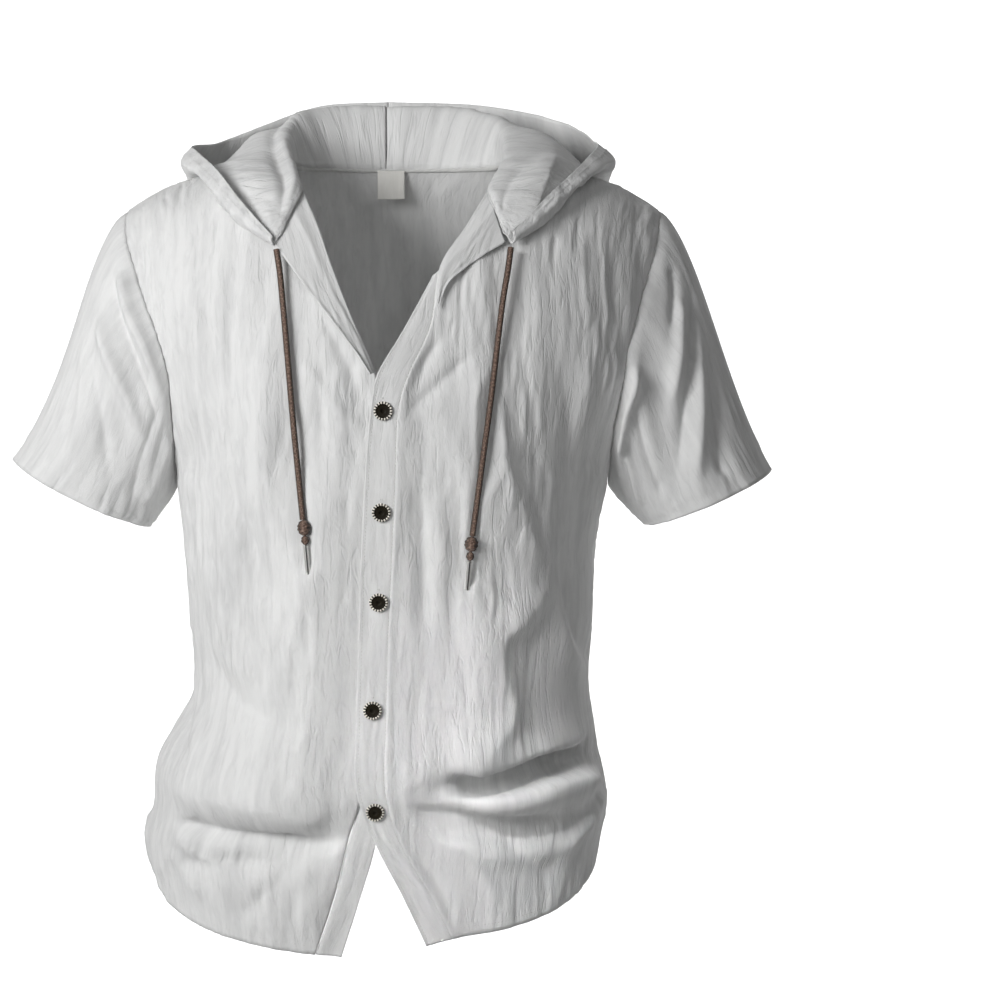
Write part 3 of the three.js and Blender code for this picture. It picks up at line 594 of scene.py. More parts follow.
# Folds of the hood, on stations 45 apart and guides 55 apart.
STATION = 45
GUIDE = 55
HOOD_CREASES = {
    "right": [
        ([(60, 95), (75, 130), (70, 200)], 9, 9, -1.6, 0),
        ([(110, 95), (120, 140), (105, 215)], 10, 9, 1.6, 0),
        ([(165, 95), (160, 140), (172, 220)], 9, 10, -2, 0),
        ([(215, 90), (225, 130), (215, 190)], 9, 9, 2, 0),
        ([(262, 62), (270, 130), (258, 230)], 7, 7, -3.5, 0),
        ([(310, 60), (305, 120), (318, 200)], 8, 9, 3, 0),
        ([(336, 130), (330, 190), (340, 250)], 6, 7, -3, 0),
        ([(40, 80), (120, 82), (200, 80), (270, 78)], 7, 7, -5, 0),
        ([(50, 64), (130, 65), (210, 64)], 6, 6, 3, 0),
    ],
    "left": [
        ([(40, 66), (80, 84), (128, 96)], 9, 9, -2.2, 0),
        ([(150, 165), (162, 195), (150, 230)], 9, 9, -2, 0),
        ([(205, 70), (196, 150), (208, 230)], 10, 10, 2, 0),
        ([(250, 62), (262, 120), (250, 200)], 7, 7, -3.5, 0),
        ([(300, 60), (308, 130), (296, 230)], 8, 9, 3.5, 0),
        ([(340, 70), (334, 150), (342, 240)], 6, 7, -3, 0),
        ([(8, 118), (47, 131), (90, 130), (120, 123), (165, 117)], 3, 15, 5, 0),
        ([(30, 146), (80, 148), (125, 140), (170, 134)], 10, 6, -5, 0),
        ([(60, 176), (100, 180), (140, 172)], 8, 10, 2.5, 0),
    ],
}


# Smooth patches, where the cloth is drawn taut: x, z, half width, half height.
CALM_PATCHES = {
    "right": [(-38, -500, 15, 95), (-120, -588, 85, 17), (-185, -100, 30, 60)],
    "left": [(160, -450, 40, 78), (120, -577, 70, 24), (176, -330, 22, 60), (135, -628, 60, 26)],
}


def calmed(x, z, patches):
    total = np.ones_like(x)
    for x0, z0, wide, tall in patches:
        total = total * (1 - 0.8 * np.exp(-(((x - x0) / wide) ** 4) - ((z - z0) / tall) ** 4))
    return total


# Lengths along and across a panel, so that the grain keeps its scale.
class Measure:
    def __init__(self, form, a_range, b_range, a_middle):
        bs = np.linspace(*b_range, 161)
        middle = form(np.full_like(bs, a_middle), bs)
        self.bs = bs
        self.length = run_of(middle)
        many = np.linspace(*a_range, 61)
        rows = form(many[None, :], bs[:, None])
        self.widths = np.linalg.norm(np.diff(rows, axis=1), axis=-1).sum(1)
        self.span = a_range[1] - a_range[0]

    def along(self, b):
        return np.interp(b, self.bs, self.length)

    def width(self, b):
        return np.interp(b, self.bs, self.widths)

    def across(self, a, b):
        return a / self.span * self.width(b)

    def at_length(self, length):
        return np.interp(length, self.length, self.bs)

    def rows(self, spacing):
        count = int(self.length[-1] / spacing)
        return self.at_length(np.linspace(0, self.length[-1], count + 1))


def dressed(form, way, relief, a_limits, b_limits):
    """The surface with its relief, moved out along the form's normal."""
    def at(a, b, lift=0.0):
        a, b = np.broadcast_arrays(np.asarray(a, float), np.asarray(b, float))
        e = 2e-3
        da = form(np.minimum(a + e, a_limits[1]), b) - form(np.maximum(a - e, a_limits[0]), b)
        db = form(a, np.minimum(b + e, b_limits[1])) - form(a, np.maximum(b - e, b_limits[0]))
        n = unit(np.cross(da, db) * way)
        p = form(a, b)
        out, sag = relief(a, b, p)
        moved = p + n * (out + lift)[..., None]
        moved[..., 2] -= sag
        return moved
    return at


FINE = 1.0


def mesh_of(name, points, faces, materials, uv=None):
    mesh = bpy.data.meshes.new(name)
    mesh.from_pydata((np.asarray(points).reshape(-1, 3) * MM).tolist(), [], faces)
    if uv is not None:
        mesh.uv_layers.new(name="grain").data.foreach_set("uv", np.ravel(uv))
    mesh.polygons.foreach_set("use_smooth", np.ones(len(faces), bool))
    for material in materials:
        mesh.materials.append(material)
    mesh.update()
    return mesh


def new_object(name, mesh, node=None):
    obj = bpy.data.objects.new(name, mesh)
    bpy.context.collection.objects.link(obj)
    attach(obj, "root")
    if node:
        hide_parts(node)
    return obj


def grid_faces(rows, cols, wrap, way=1):
    """Rows and columns of the corners of a grid's faces, and the faces."""
    i, j = np.meshgrid(np.arange(rows - 1), np.arange(cols if wrap else cols - 1), indexing="ij")
    corners = [(i, j), (i, j + 1), (i + 1, j + 1), (i + 1, j)]
    if way < 0:
        corners.reverse()
    faces = np.stack([a * cols + b % cols for a, b in corners], -1).reshape(-1, 4)
    return corners, faces.tolist()


def grid_uv(corners, grain):
    return np.stack([grain[a, b] for a, b in corners], 2).reshape(-1, 2) * MM


def cloth_panel(node, points, grain, material, thick, way=1, wrap=False):
    """A cloth panel from a grid of points, with the grain's millimetres as its UV map."""
    corners, faces = grid_faces(*points.shape[:2], wrap, way)
    name = f"visual_{node}"
    mesh = mesh_of(name, points, faces, [material], grid_uv(corners, grain))
    obj = new_object(name, mesh, node)
    shell = obj.modifiers.new("cloth thickness", "SOLIDIFY")
    shell.thickness = thick * MM
    shell.offset = -1
    return obj


def area_of(points):
    a = np.diff(points[:, :-1], axis=0)
    b = np.diff(points[:-1], axis=1)
    return float(np.linalg.norm(np.cross(a, b), axis=-1).sum()) * MM * MM


def stitches(path, normals, verts, faces):
    """Adds thread stitches along a path on the cloth to the points and faces of a mesh."""
    length = 2.3
    gap = 0.9
    radius = 0.28
    sides = 6
    cuts = [(0, 0.25), (0.2, 1), (0.8, 1), (1, 0.25)]
    last = len(cuts) - 1
    run = run_of(path)

    def along(rows, place):
        return np.array([np.interp(place, run, rows[:, c]) for c in range(3)])

    for s in range(int(run[-1] / (length + gap))):
        start = s * (length + gap) + gap / 2
        base = len(verts)
        ends = [along(path, start), along(path, start + length)]
        way = unit(ends[1] - ends[0])
        up = along(normals, start)
        side = unit(np.cross(way, up))
        for q, fat in cuts:
            mid = lerp(ends[0], ends[1], q) - up * radius * (1 - fat) * 1.6
            for m in range(sides):
                angle = 2 * math.pi * m / sides
                verts.append(mid + (side * math.cos(angle) + up * math.sin(angle)) * radius * fat)
        for ring in range(last):
            for m in range(sides):
                a = base + ring * sides + m
                b = base + ring * sides + (m + 1) % sides
                faces.append((a, b, b + sides, a + sides))
        faces.append([base + m for m in reversed(range(sides))])
        faces.append([base + last * sides + m for m in range(sides)])


# Materials. A wave texture of this scale has one band to each unit.
BAND_SCALE = 0.314


class Look:
    """A named material with its main shader, and the nodes that colour and roughen it."""
    def __init__(self, name, settings):
        self.material = bpy.data.materials.new(name)
        self.material.use_nodes = True
        tree = self.material.node_tree
        self.nodes = tree.nodes
        self.links = tree.links
        self.shader = self.nodes["Principled BSDF"]
        self.fill(self.shader, settings)

    def fill(self, node, settings):
        """Sets a node's sockets to values, or links them to other nodes' outputs."""
        for socket, value in settings.items():
            if isinstance(value, bpy.types.NodeSocket):
                self.links.new(value, node.inputs[socket])
            else:
                node.inputs[socket].default_value = value

    def node(self, kind, settings):
        node = self.nodes.new("ShaderNode" + kind)
        self.fill(node, settings)
        return node

    def math(self, operation, *values):
        node = self.node("Math", dict(enumerate(values)))
        node.operation = operation
        return node.outputs[0]

    def grain(self):
        node = self.node("UVMap", {})
        node.uv_map = "grain"
        return node.outputs[0]

    def across(self):
        return self.node("SeparateXYZ", {0: self.grain()}).outputs[0]

    def speckle(self, settings):
        return self.node("TexNoise", settings).outputs["Fac"]

    def streaks(self, scale, detail, rough=0.5, warp=0.0):
        """Noise in the grain's coordinates, with its own scale across and along."""
        place = self.node("Mapping", {"Vector": self.grain(), "Scale": (*scale, 1)}).outputs[0]
        return self.speckle({
            "Vector": place, "Scale": 1, "Detail": detail, "Roughness": rough, "Distortion": warp,
        })

    def bands(self, spacing, warp, way="X"):
        """Even bands over the grain, with a spacing in its units."""
        scale = BAND_SCALE / spacing
        node = self.node("TexWave", {
            "Vector": self.grain(), "Scale": scale, "Distortion": warp, "Detail": 1,
        })
        node.bands_direction = way
        return node.outputs["Fac"]

    def bump(self, height, distance, strength, below=None):
        node = self.node("Bump", {"Height": height, "Distance": distance * MM, "Strength": strength})
        if below is not None:
            self.fill(node, {"Normal": below})
        return node.outputs[0]

    def ramp(self, value, stops):
        node = self.node("ValToRGB", {0: value})
        first, last = node.color_ramp.elements
        first.position, last.position = stops[0][0], stops[-1][0]
        first.color, last.color = (*stops[0][1], 1), (*stops[-1][1], 1)
        for place, colour in stops[1:-1]:
            node.color_ramp.elements.new(place).color = (*colour, 1)
        return node.outputs[0]

    def dressed(self, colour, normal):
        self.fill(self.shader, {"Base Color": colour, "Normal": normal})
        return self.material


def cotton(name, dark, light, crinkled=1.0):
    """Plain-woven cotton with crinkles along the grain, coloured partly by yarn tone and partly by
    painted crinkle shade.
    """
    look = Look(name, {
        "Roughness": 0.88, "Specular IOR Level": 0.25, "Sheen Weight": 0.2, "Sheen Roughness": 0.5,
    })
    wide = look.streaks((190, 38), 2, 0.6, 0.5)
    fine = look.streaks((520, 110), 2, 0.6, 0.4)
    slub_and_painted_shade = look.streaks((75, 7), 1, 0.6, 0.3)
    # Colour streaks: partly slubby yarn tone, partly painted shade that is darkest where the crinkle
    # bump (wide) is low.
    yarn_tone_and_painted_crinkle_shade = look.math("MULTIPLY_ADD", wide, 0.45, look.math("MULTIPLY", slub_and_painted_shade, 0.55))
    patch = look.streaks((24, 16), 0)
    crease = look.math("ABSOLUTE", look.math("SUBTRACT", wide, 0.5))
    lively = look.math("MULTIPLY", look.math("SUBTRACT", wide, crease), patch)
    ridges = look.bump(lively, 2.6 * crinkled, 0.7)
    wrinkles = look.bump(fine, 0.45 * crinkled, 0.5, ridges)
    weave = look.math("ADD", look.bands(0.42 * MM, 1.5, "Y"), look.bands(0.38 * MM, 1.5))
    normal = look.bump(weave, 0.06, 0.5, wrinkles)
    return look.dressed(look.ramp(yarn_tone_and_painted_crinkle_shade, [(0.34, dark), (0.6, light)]), normal)


COTTON = cotton("crinkled cotton", (0.68, 0.682, 0.68), (0.8, 0.802, 0.796))
SLEEVE_COTTON = cotton("sleeve cotton", (0.69, 0.692, 0.69), (0.79, 0.792, 0.786), 0.5)
BAND_COTTON = cotton("cotton bands", (0.7, 0.702, 0.698), (0.81, 0.812, 0.806), 0.6)
TAPE_COTTON = cotton("neck tape cotton", (0.58, 0.58, 0.565), (0.7, 0.7, 0.685), 0.25)
LABEL_COTTON = cotton("label cloth", (0.78, 0.77, 0.73), (0.86, 0.85, 0.81), 0.1)


def thread_material():
    look = Look("sewing thread", {"Roughness": 0.6})
    speck = look.speckle({"Scale": 900})
    tones = look.ramp(speck, [(0.3, (0.6, 0.6, 0.58)), (0.7, (0.82, 0.82, 0.8))])
    return look.dressed(tones, look.bump(speck, 0.05, 0.5))


def braid_material():
    """Braided cord: brown strands crossing and pale flecks, with painted shade darkening the cord's
    two sides.
    """
    look = Look("braided cord", {"Roughness": 0.75, "Sheen Weight": 0.15})
    strand = look.streaks((900, 500), 2, 0.6)
    around = look.math("MULTIPLY", look.across(), 4 * math.pi / (CORD_GIRTH * MM))
    # Painted shade: a cosine round the cord darkens its colour on the two sides that face left and
    # right.
    strands_and_painted_side_shade = look.math("ADD", strand, look.math("MULTIPLY", look.math("COSINE", around), -0.16))
    tones = look.ramp(strands_and_painted_side_shade, [
        (0.36, (0.026, 0.022, 0.017)),
        (0.52, (0.085, 0.054, 0.04)),
        (0.66, (0.165, 0.098, 0.07)),
        (0.78, (0.3, 0.215, 0.17)),
    ])
    return look.dressed(tones, look.bump(strand, 0.25, 0.6))


def horn_material():
    look = Look("button horn", {"Roughness": 0.5, "Specular IOR Level": 0.12})
    speck = look.speckle({"Scale": 260, "Detail": 4})
    tones = look.ramp(speck, [
        (0.4, (0.007, 0.006, 0.003)),
        (0.6, (0.018, 0.014, 0.008)),
        (0.74, (0.07, 0.05, 0.03)),
    ])
    return look.dressed(tones, look.bump(speck, 0.08, 0.4))


def rim_material():
    """A pale rim with dark notches round it."""
    look = Look("button rim", {"Roughness": 0.5})
    notches = look.bands(1 / 18, 0.6)
    tones = look.ramp(notches, [
        (0.44, (0.01, 0.008, 0.005)),
        (0.52, (0.5, 0.44, 0.34)),
        (0.58, (0.94, 0.9, 0.8)),
    ])
    return look.dressed(tones, look.bump(notches, 0.12, 0.6))


def tip_material():
    """Polished metal with a dark seam down its front."""
    look = Look("polished tip", {"Metallic": 1})
    speck = look.speckle({"Scale": 700})
    away = look.math("ABSOLUTE", look.math("SUBTRACT", look.across(), 4.6 * MM))
    seam = look.math("MINIMUM", look.math("MULTIPLY", away, 500), 0.6)
    tones = look.ramp(look.math("MULTIPLY_ADD", speck, 0.2, seam), [
        (0.2, (0.02, 0.02, 0.018)),
        (0.36, (0.6, 0.59, 0.56)),
        (0.7, (0.9, 0.89, 0.86)),
    ])
    rough = look.node("MapRange", {"Value": speck, "To Min": 0.3, "To Max": 0.42}).outputs[0]
    look.fill(look.shader, {"Base Color": tones, "Roughness": rough})
    return look.material


CORD_RADIUS = 2.75
CORD_GIRTH = 17
THREAD = thread_material()
BRAID = braid_material()
BUTTON_CORE = horn_material()
BUTTON_RIM = rim_material()
TIP_METAL = tip_material()


# Cords: x z and clearance from the front, from the casing's mouth to the end knot.
CORD_ENDS = {
    "right": dict(
        path=[
            (-93.5, -68.3, 10.5), (-90, -90, 8), (-85.5, -136, 6),
            (-79, -216, 5.4), (-75, -262, 5.2), (-71, -306, 5.2),
        ],
        knot=(-69.9, -313.3, 5.9), stop=(-69, -324.4, 5.8), tip=(-67.8, -342, 5.2),
    ),
    "left": dict(
        path=[
            (113.5, -66.6, 10.5), (111, -86, 8), (105.5, -120, 6.4),
            (96, -199, 5.6), (88, -258, 5.4), (79.5, -321, 5.4),
        ],
        knot=(78.4, -328.3, 6.6), stop=(77.4, -339.4, 5.8), tip=(75.8, -357, 5.2),
    ),
}


TUBE_SIDES = 24


def tube_frames(path):
    way = unit(np.gradient(path, axis=0))
    side = unit(np.cross(way, np.broadcast_to([0, -1.0, 0], way.shape)))
    return side, unit(np.cross(side, way))


def tube(node, path, radii, material, relief=None):
    """A round body along a path, radii one for each point, with optional relief over (turn, run)."""
    side, up = tube_frames(path)
    run = run_of(path)
    turn = np.arange(TUBE_SIDES) / TUBE_SIDES
    rows = len(path)
    radius = np.broadcast_to(np.asarray(radii, float)[:, None], (rows, TUBE_SIDES)).copy()
    if relief is not None:
        radius += relief(turn[None, :], run[:, None])
    angle = turn * 2 * np.pi
    ring = side[:, None] * np.cos(angle)[:, None] + up[:, None] * np.sin(angle)[:, None]
    points = path[:, None] + ring * radius[..., None]
    corners, faces = grid_faces(rows, TUBE_SIDES, True)
    faces.append(list(reversed(range(TUBE_SIDES))))
    faces.append([(rows - 1) * TUBE_SIDES + m for m in range(TUBE_SIDES)])
    grain = stack(np.arange(TUBE_SIDES + 1) / TUBE_SIDES * CORD_GIRTH, run[:, None])
    uv = np.concatenate([grid_uv(corners, grain), np.zeros((2 * TUBE_SIDES, 2))])
    name = f"visual_{node}"
    return new_object(name, mesh_of(name, points, faces, [material], uv), node)


def braid_relief(turn, run):
    twist = run * 2 / 11.0
    one = np.abs(np.sin(np.pi * (turn * 8 + twist)))
    two = np.abs(np.sin(np.pi * (turn * 8 - twist)))
    return 0.34 * np.maximum(one, two) - 0.3


def cord_end(side, end):
    def spot(key):
        key = np.asarray(key, float)
        place = on_front(FRONT[side], key[..., 0], key[..., 1])[0]
        place[..., 1] -= key[..., 2]
        return place

    def bead(node, centre, half, wide, lumps):
        share = np.linspace(-1, 1, 25)
        round_off = np.sqrt(np.maximum(1 - share ** 2, 0.004))

        def wrap(turn, run):
            return lumps * np.abs(np.sin(np.pi * (run / 3.4 + turn * 2))) - lumps

        path = centre + way * (share * half)[:, None]
        return tube(node, path, wide * round_off, BRAID, wrap)

    place = spot(end["path"])
    last = len(place) - 1
    route = through(place, np.linspace(0, last, 30))
    fine = through(place, np.linspace(0, last, int(420 / FINE)))
    cord = tube(f"cord_{side}", fine, np.full(len(fine), CORD_RADIUS), BRAID, braid_relief)
    way = unit(spot(end["stop"]) - spot(end["knot"]))
    knot = bead(f"knot_{side}", spot(end["knot"]), 7.2, 6.3, 0.9)
    stop = bead(f"stop_knot_{side}", spot(end["stop"]), 4.2, 3.8, 0.5)
    share = np.linspace(-1, 1, 41)
    path = spot(end["tip"]) + way * (share * 13.5)[:, None]
    swell = 2.15 + 0.25 * hill(np.abs(share) - 0.93, 0.04)
    ends = np.sqrt(np.clip((1 - np.abs(share)) / 0.05 + 0.15, 0, 1))
    tip = tube(f"tip_{side}", path, swell * ends, TIP_METAL)
    float(run_of(route)[-1]) * MM


for side, end in CORD_ENDS.items():
    cord_end(side, end)


# How far a row of sewing is from the hem, the cuff, the hood's face edge, a band's seam and its edge.
HEM_SEWING = 7
CUFF_SEWING = 19
CASING_SEWING = 22
SEAM_SEWING = 2.5
EDGE_SEWING = 3


# Panels of the body, all of one thickness.
THICK = 0.9


def edge_room(distance, start, slope):
    """How far a relief may rise at a distance from an edge that something lies over."""
    return start + slope * np.maximum(distance, 0)


def beside_cord(side, p):
    """Distance, seen from the front, from the drawcord that lies on the cloth."""
    line = [(x, z) for x, z, _ in CORD_ENDS[side]["path"]] + [CORD_ENDS[side]["tip"][:2]]
    best = np.full(p.shape[:-1], 1e9)
    for (x0, z0), (x1, z1) in zip(line, line[1:]):
        dx = x1 - x0
        dz = z1 - z0
        u = np.clip(((p[..., 0] - x0) * dx + (p[..., 2] - z0) * dz) / (dx * dx + dz * dz), 0, 1)
        best = np.minimum(best, np.hypot(p[..., 0] - x0 - u * dx, p[..., 2] - z0 - u * dz))
    return best


def groove(distance, deep, wide):
    """The dent that a row of sewing pulls into the cloth."""
    return -deep * hill(distance, wide)


def front_panel(side):
    rows = FRONT[side]
    seed = {"right": 3, "left": 23}[side]
    way = {"right": -1, "left": 1}[side]

    def form(t, k):
        return front(rows, t, k)

    size = Measure(form, (0, 1), (0, TOP), 0.5)

    def grain_of(t, k):
        """Threads run straight up the panel, so the slanting front edge cuts across them."""
        inner = np.abs(through(rows[:, :1], k)[..., 0])
        return size.across(t, k) + inner, size.along(k)

    def relief(t, k, p):
        s = size.across(t, k)
        far = size.width(k) - s
        g, l = grain_of(t, k)
        from_top = size.length[-1] - l
        out, sag = creases(p[..., 0], p[..., 2], FRONT_CREASES[side])
        calm = smooth(far / 16) * smooth(from_top / 30)
        rough = crinkle(g, l, seed) * (0.25 + 0.75 * smooth(far / 10))
        rough = rough * (0.3 + 0.7 * smooth(from_top / 18))
        rough = rough * (1 + 0.2 * hill(l, 60)) * (0.35 + 0.65 * smooth(l / 14))
        rough = rough * calmed(p[..., 0], p[..., 2], CALM_PATCHES[side])
        out = out * calm + rough * 1.2
        out = out + pucker(l, far, seed + 8) + pucker(s, l - HEM_SEWING, seed + 9)
        out = out + groove(far, 0.2, 1.6) + groove(l - HEM_SEWING, 0.45, 1.1)
        out = np.minimum(out, edge_room(beside_cord(side, p) - 2, 1.3, 0.5))
        if side == "right":
            room = edge_room(s - 4, 0.3, 0.22)
        else:
            out = lerp(2.6, out, smooth(s / 11))
            room = edge_room(s + 4, 1.2, 0.5)
        return np.minimum(out, room), sag * calm * smooth(s / 30)

    at = dressed(form, way, relief, (0, 1), (0, TOP))
    cols = int(size.widths.mean() / (2.1 * FINE))
    ks = np.minimum(size.rows(4.0 * FINE), TOP_EDGE)
    t, k = np.meshgrid(np.linspace(0, 1, cols), ks)
    grain = stack(*grain_of(t, k))
    obj = cloth_panel(f"front_{side}", at(t, k), grain, COTTON, THICK, way)
    area_of(form(t, k))
    return at, size


FRONT_AT = {side: front_panel(side) for side in SIDES}


def back_panel():
    size = Measure(back, (-1, 1), (0, TOP), 0.25)

    def relief(t, k, p):
        s = size.across(t, k)
        far = size.width(k) / 2 - np.abs(s)
        l = size.along(k)
        from_top = size.length[-1] - l
        out, sag = creases(p[..., 0], p[..., 2], BACK_CREASES)
        calm = smooth(far / 16) * smooth((from_top - 60) / 60)
        rough = crinkle(s, l, 41) * (0.25 + 0.75 * smooth(far / 10))
        rough = rough * (0.15 + 0.85 * smooth((from_top - 10) / 60))
        out = out * calm + rough * 1.2
        out = out + pucker(l, far, 48) + pucker(s, l - HEM_SEWING, 49)
        out = out + groove(far, 0.2, 1.6) + groove(l - HEM_SEWING, 0.45, 1.1)
        return out, sag * calm

    cols = int(size.widths.mean() / (2.7 * FINE))
    ks = np.minimum(size.rows(4.6 * FINE), TOP_EDGE)
    t, k = np.meshgrid(np.linspace(-1, 1, cols), ks)
    at = dressed(back, -1, relief, (-1, 1), (0, TOP))
    grain = stack(size.across(t, k), size.along(k))
    obj = cloth_panel("back", at(t, k), grain, COTTON, THICK, -1)
    area_of(back(t, k))
    return at, size


BACK_AT = back_panel()


def sleeve_piece(side):
    seed = {"right": 61, "left": 71}[side]
    way = {"right": 1, "left": -1}[side]

    def form(turn, w):
        return sleeve(side, np.mod(turn, 1), w)

    size = Measure(form, (0, 1), (0, 1), 0.2)

    def relief(turn, w, p):
        s = turn * SLEEVE_TURN
        down = size.along(w)
        to_cuff = size.length[-1] - down
        out, sag = creases(s, w * SLEEVE_RUN, SLEEVE_CREASES[side])
        calm = smooth(w / 0.12) * (0.45 + 0.55 * smooth((1 - w) / 0.2))
        out = out * calm * 1.35 + sleeve_fold(turn, w) * 0.8
        closed = 0.5 - 0.5 * np.cos(2 * np.pi * np.clip(turn, 0, 1))
        fine = crinkle(s, down, seed) * smooth(closed * 60)
        out = out + fine * (0.3 + 0.65 * smooth((w - 0.5) / 0.35))
        out = out + pucker(s, down, seed + 1) + pucker(s, to_cuff - CUFF_SEWING, seed + 2)
        out = out + groove(to_cuff - CUFF_SEWING, 0.5, 1.2) + 0.5 * smooth((20 - to_cuff) / 3)
        return out + 1.8 * hill(down, 4), sag

    at = dressed(form, way, relief, (-9, 9), (0, 1))
    cols = int(470 / (2.3 * FINE))
    turn, w = np.meshgrid(np.arange(cols) / cols, size.rows(3.6 * FINE))
    wide = np.arange(cols + 1) / cols * SLEEVE_TURN
    grain = stack(wide[None, :], size.along(w)[:, :1])
    node = f"sleeve_{side}"
    obj = cloth_panel(node, at(turn, w), grain, SLEEVE_COTTON, THICK, way, wrap=True)
    area_of(form(turn, w))
    return at, size


SLEEVE_AT = {side: sleeve_piece(side) for side in SIDES}


# Wall of the solids' cloth. The bands' free edges, x z, go row for row with the front sections.
CLOTH = 1.5
STAND_EDGE = [
    [-41, -711], [-24, -657], [-8.5, -603], [-2, -550], [0, -490], [2, -420],
    [6, -340], [9.5, -270], [10, -235], [6, -204], [-1, -179],
]
PLACKET_EDGE = [
    [37, -700], [14.5, -649], [-8, -602], [-25, -550], [-25, -490], [-22.5, -420], [-19.5, -340],
    [-15.4, -270], [-13, -235], [-9.5, -204], [-3.5, -176], [19, -138], [45, -91],
]


def band(node, rows, edge, lift, tuck, last, seed):
    edge = np.array(edge, float)
    way = -1 if rows is FRONT_LEFT else 1

    def form(q, k):
        seam = front(rows, np.zeros_like(k), k)
        free = through(edge, k)
        side = np.sign(seam[..., 0] - free[..., 0])
        bend = 0.12 * np.abs(seam[..., 0] - free[..., 0]) * smooth((k - 9) / 2)
        x = lerp(seam[..., 0] + side * tuck, free[..., 0], q)
        z = lerp(seam[..., 2], free[..., 1], q)
        return stack(x, seam[..., 1] - lift - bend * q, z)

    size = Measure(form, (0, 1), (0, last), 0.5)

    def relief(q, k, p):
        s = size.across(q, k)
        l = size.along(k)
        from_edge = size.width(k) - s
        lively = 0.45 + 0.5 * smooth((150 - l) / 50)
        out = lively * crinkle(s, l, seed) * (0.3 + 0.7 * np.sin(np.pi * np.clip(q, 0, 1)))
        out = out + 0.7 * pucker(l, s - SEAM_SEWING, seed + 1, 5)
        out = out + 0.7 * pucker(l, from_edge - EDGE_SEWING, seed + 2, 5)
        out = out + groove(from_edge - EDGE_SEWING, 0.25, 0.9) + 0.4 * hill(from_edge, 1.6)
        return np.clip(out, -1.0, 0.9) - 1.3 * hill(s, 2.6), 0 * out

    at = dressed(form, way, relief, (0, 1), (0, last))
    cols = int(size.widths.mean() / (1.2 * FINE))
    q, k = np.meshgrid(np.linspace(0, 1, cols), size.rows(2.4 * FINE))
    grain = stack(size.across(q, k), size.along(k))
    obj = cloth_panel(node, at(q, k), grain, BAND_COTTON, 1.1, way)
    area_of(form(q, k))
    return at, size


PLACKET_LIFT = CLOTH + 1.1
band("button_stand", FRONT_RIGHT, STAND_EDGE, 0, -0.3, 10, 83)
PLACKET_AT = band("placket", FRONT_LEFT, PLACKET_EDGE, PLACKET_LIFT, 2, 12, 85)

# Neck facings turned out over the fronts: rows of front section and the free edge's x and z,
# then the clearance from the front at the lower end.
FACINGS = {
    "right": (
        [
            (10, -8, -179), (10.6, -24, -155), (11.2, -41, -133),
            (12, -61, -108), (13, -80, -83.5), (14, -94, -66.5),
        ],
        2.4,
    ),
    "left": (
        [(11.5, 49, -121), (12, 56, -101), (12.5, 71, -87), (13.2, 89, -74), (14, 108, -63)],
        4.4,
    ),
}


def facing(side):
    rows = FRONT[side]
    table, lift = FACINGS[side]
    table = np.array(table, float)
    hand = {"right": -1, "left": 1}[side]
    lean = unit(np.array([hand * 0.25, -1, 0.35]))
    q, j = np.meshgrid(
        np.linspace(0, 1, int(22 / FINE)),
        np.linspace(0, len(table) - 1, int(64 / FINE)),
    )
    row = through(table, j)
    k = row[..., 0]
    roll = front(rows, np.zeros_like(k), k)
    x = lerp(roll[..., 0], row[..., 1], q)
    z = lerp(roll[..., 2], row[..., 2], q)
    base = np.where((q < 1e-6)[..., None], roll, on_front(rows, x, z)[0])
    swell = {"left": 2.6 * np.sin(np.pi * q ** 0.7 * 0.85), "right": 6.5 * q ** 1.2}[side]
    stand = lift - (lift - 2.4) * smooth(k - 12) + swell
    points = base + lean * stand[..., None]

    n = unit(np.cross(np.gradient(points, axis=1), np.gradient(points, axis=0)))
    way = 1 if n[..., 1].mean() < 0 else -1
    wide = np.linalg.norm(points[:, -1] - points[:, 0], axis=1)[:, None]
    s = q * wide
    from_edge = wide - s
    l = run_of(points[:, 10])[:, None] + 0 * q
    out = 0.45 * crinkle(s, l, 91) + 0.6 * pucker(l, from_edge - EDGE_SEWING, 93, 5)
    out = out + 0.7 * hill(from_edge, 1.5) + 0.9 * hill(s - 0.35 * wide, 3.2)
    out = out + groove(from_edge - EDGE_SEWING, 0.3, 0.9)
    points = points + n * way * np.clip(out, -0.4, 1.6)[..., None]
    obj = cloth_panel(f"facing_{side}", points, stack(s, l), BAND_COTTON, 1.0, way)
    area_of(points)


for side in SIDES:
    facing(side)


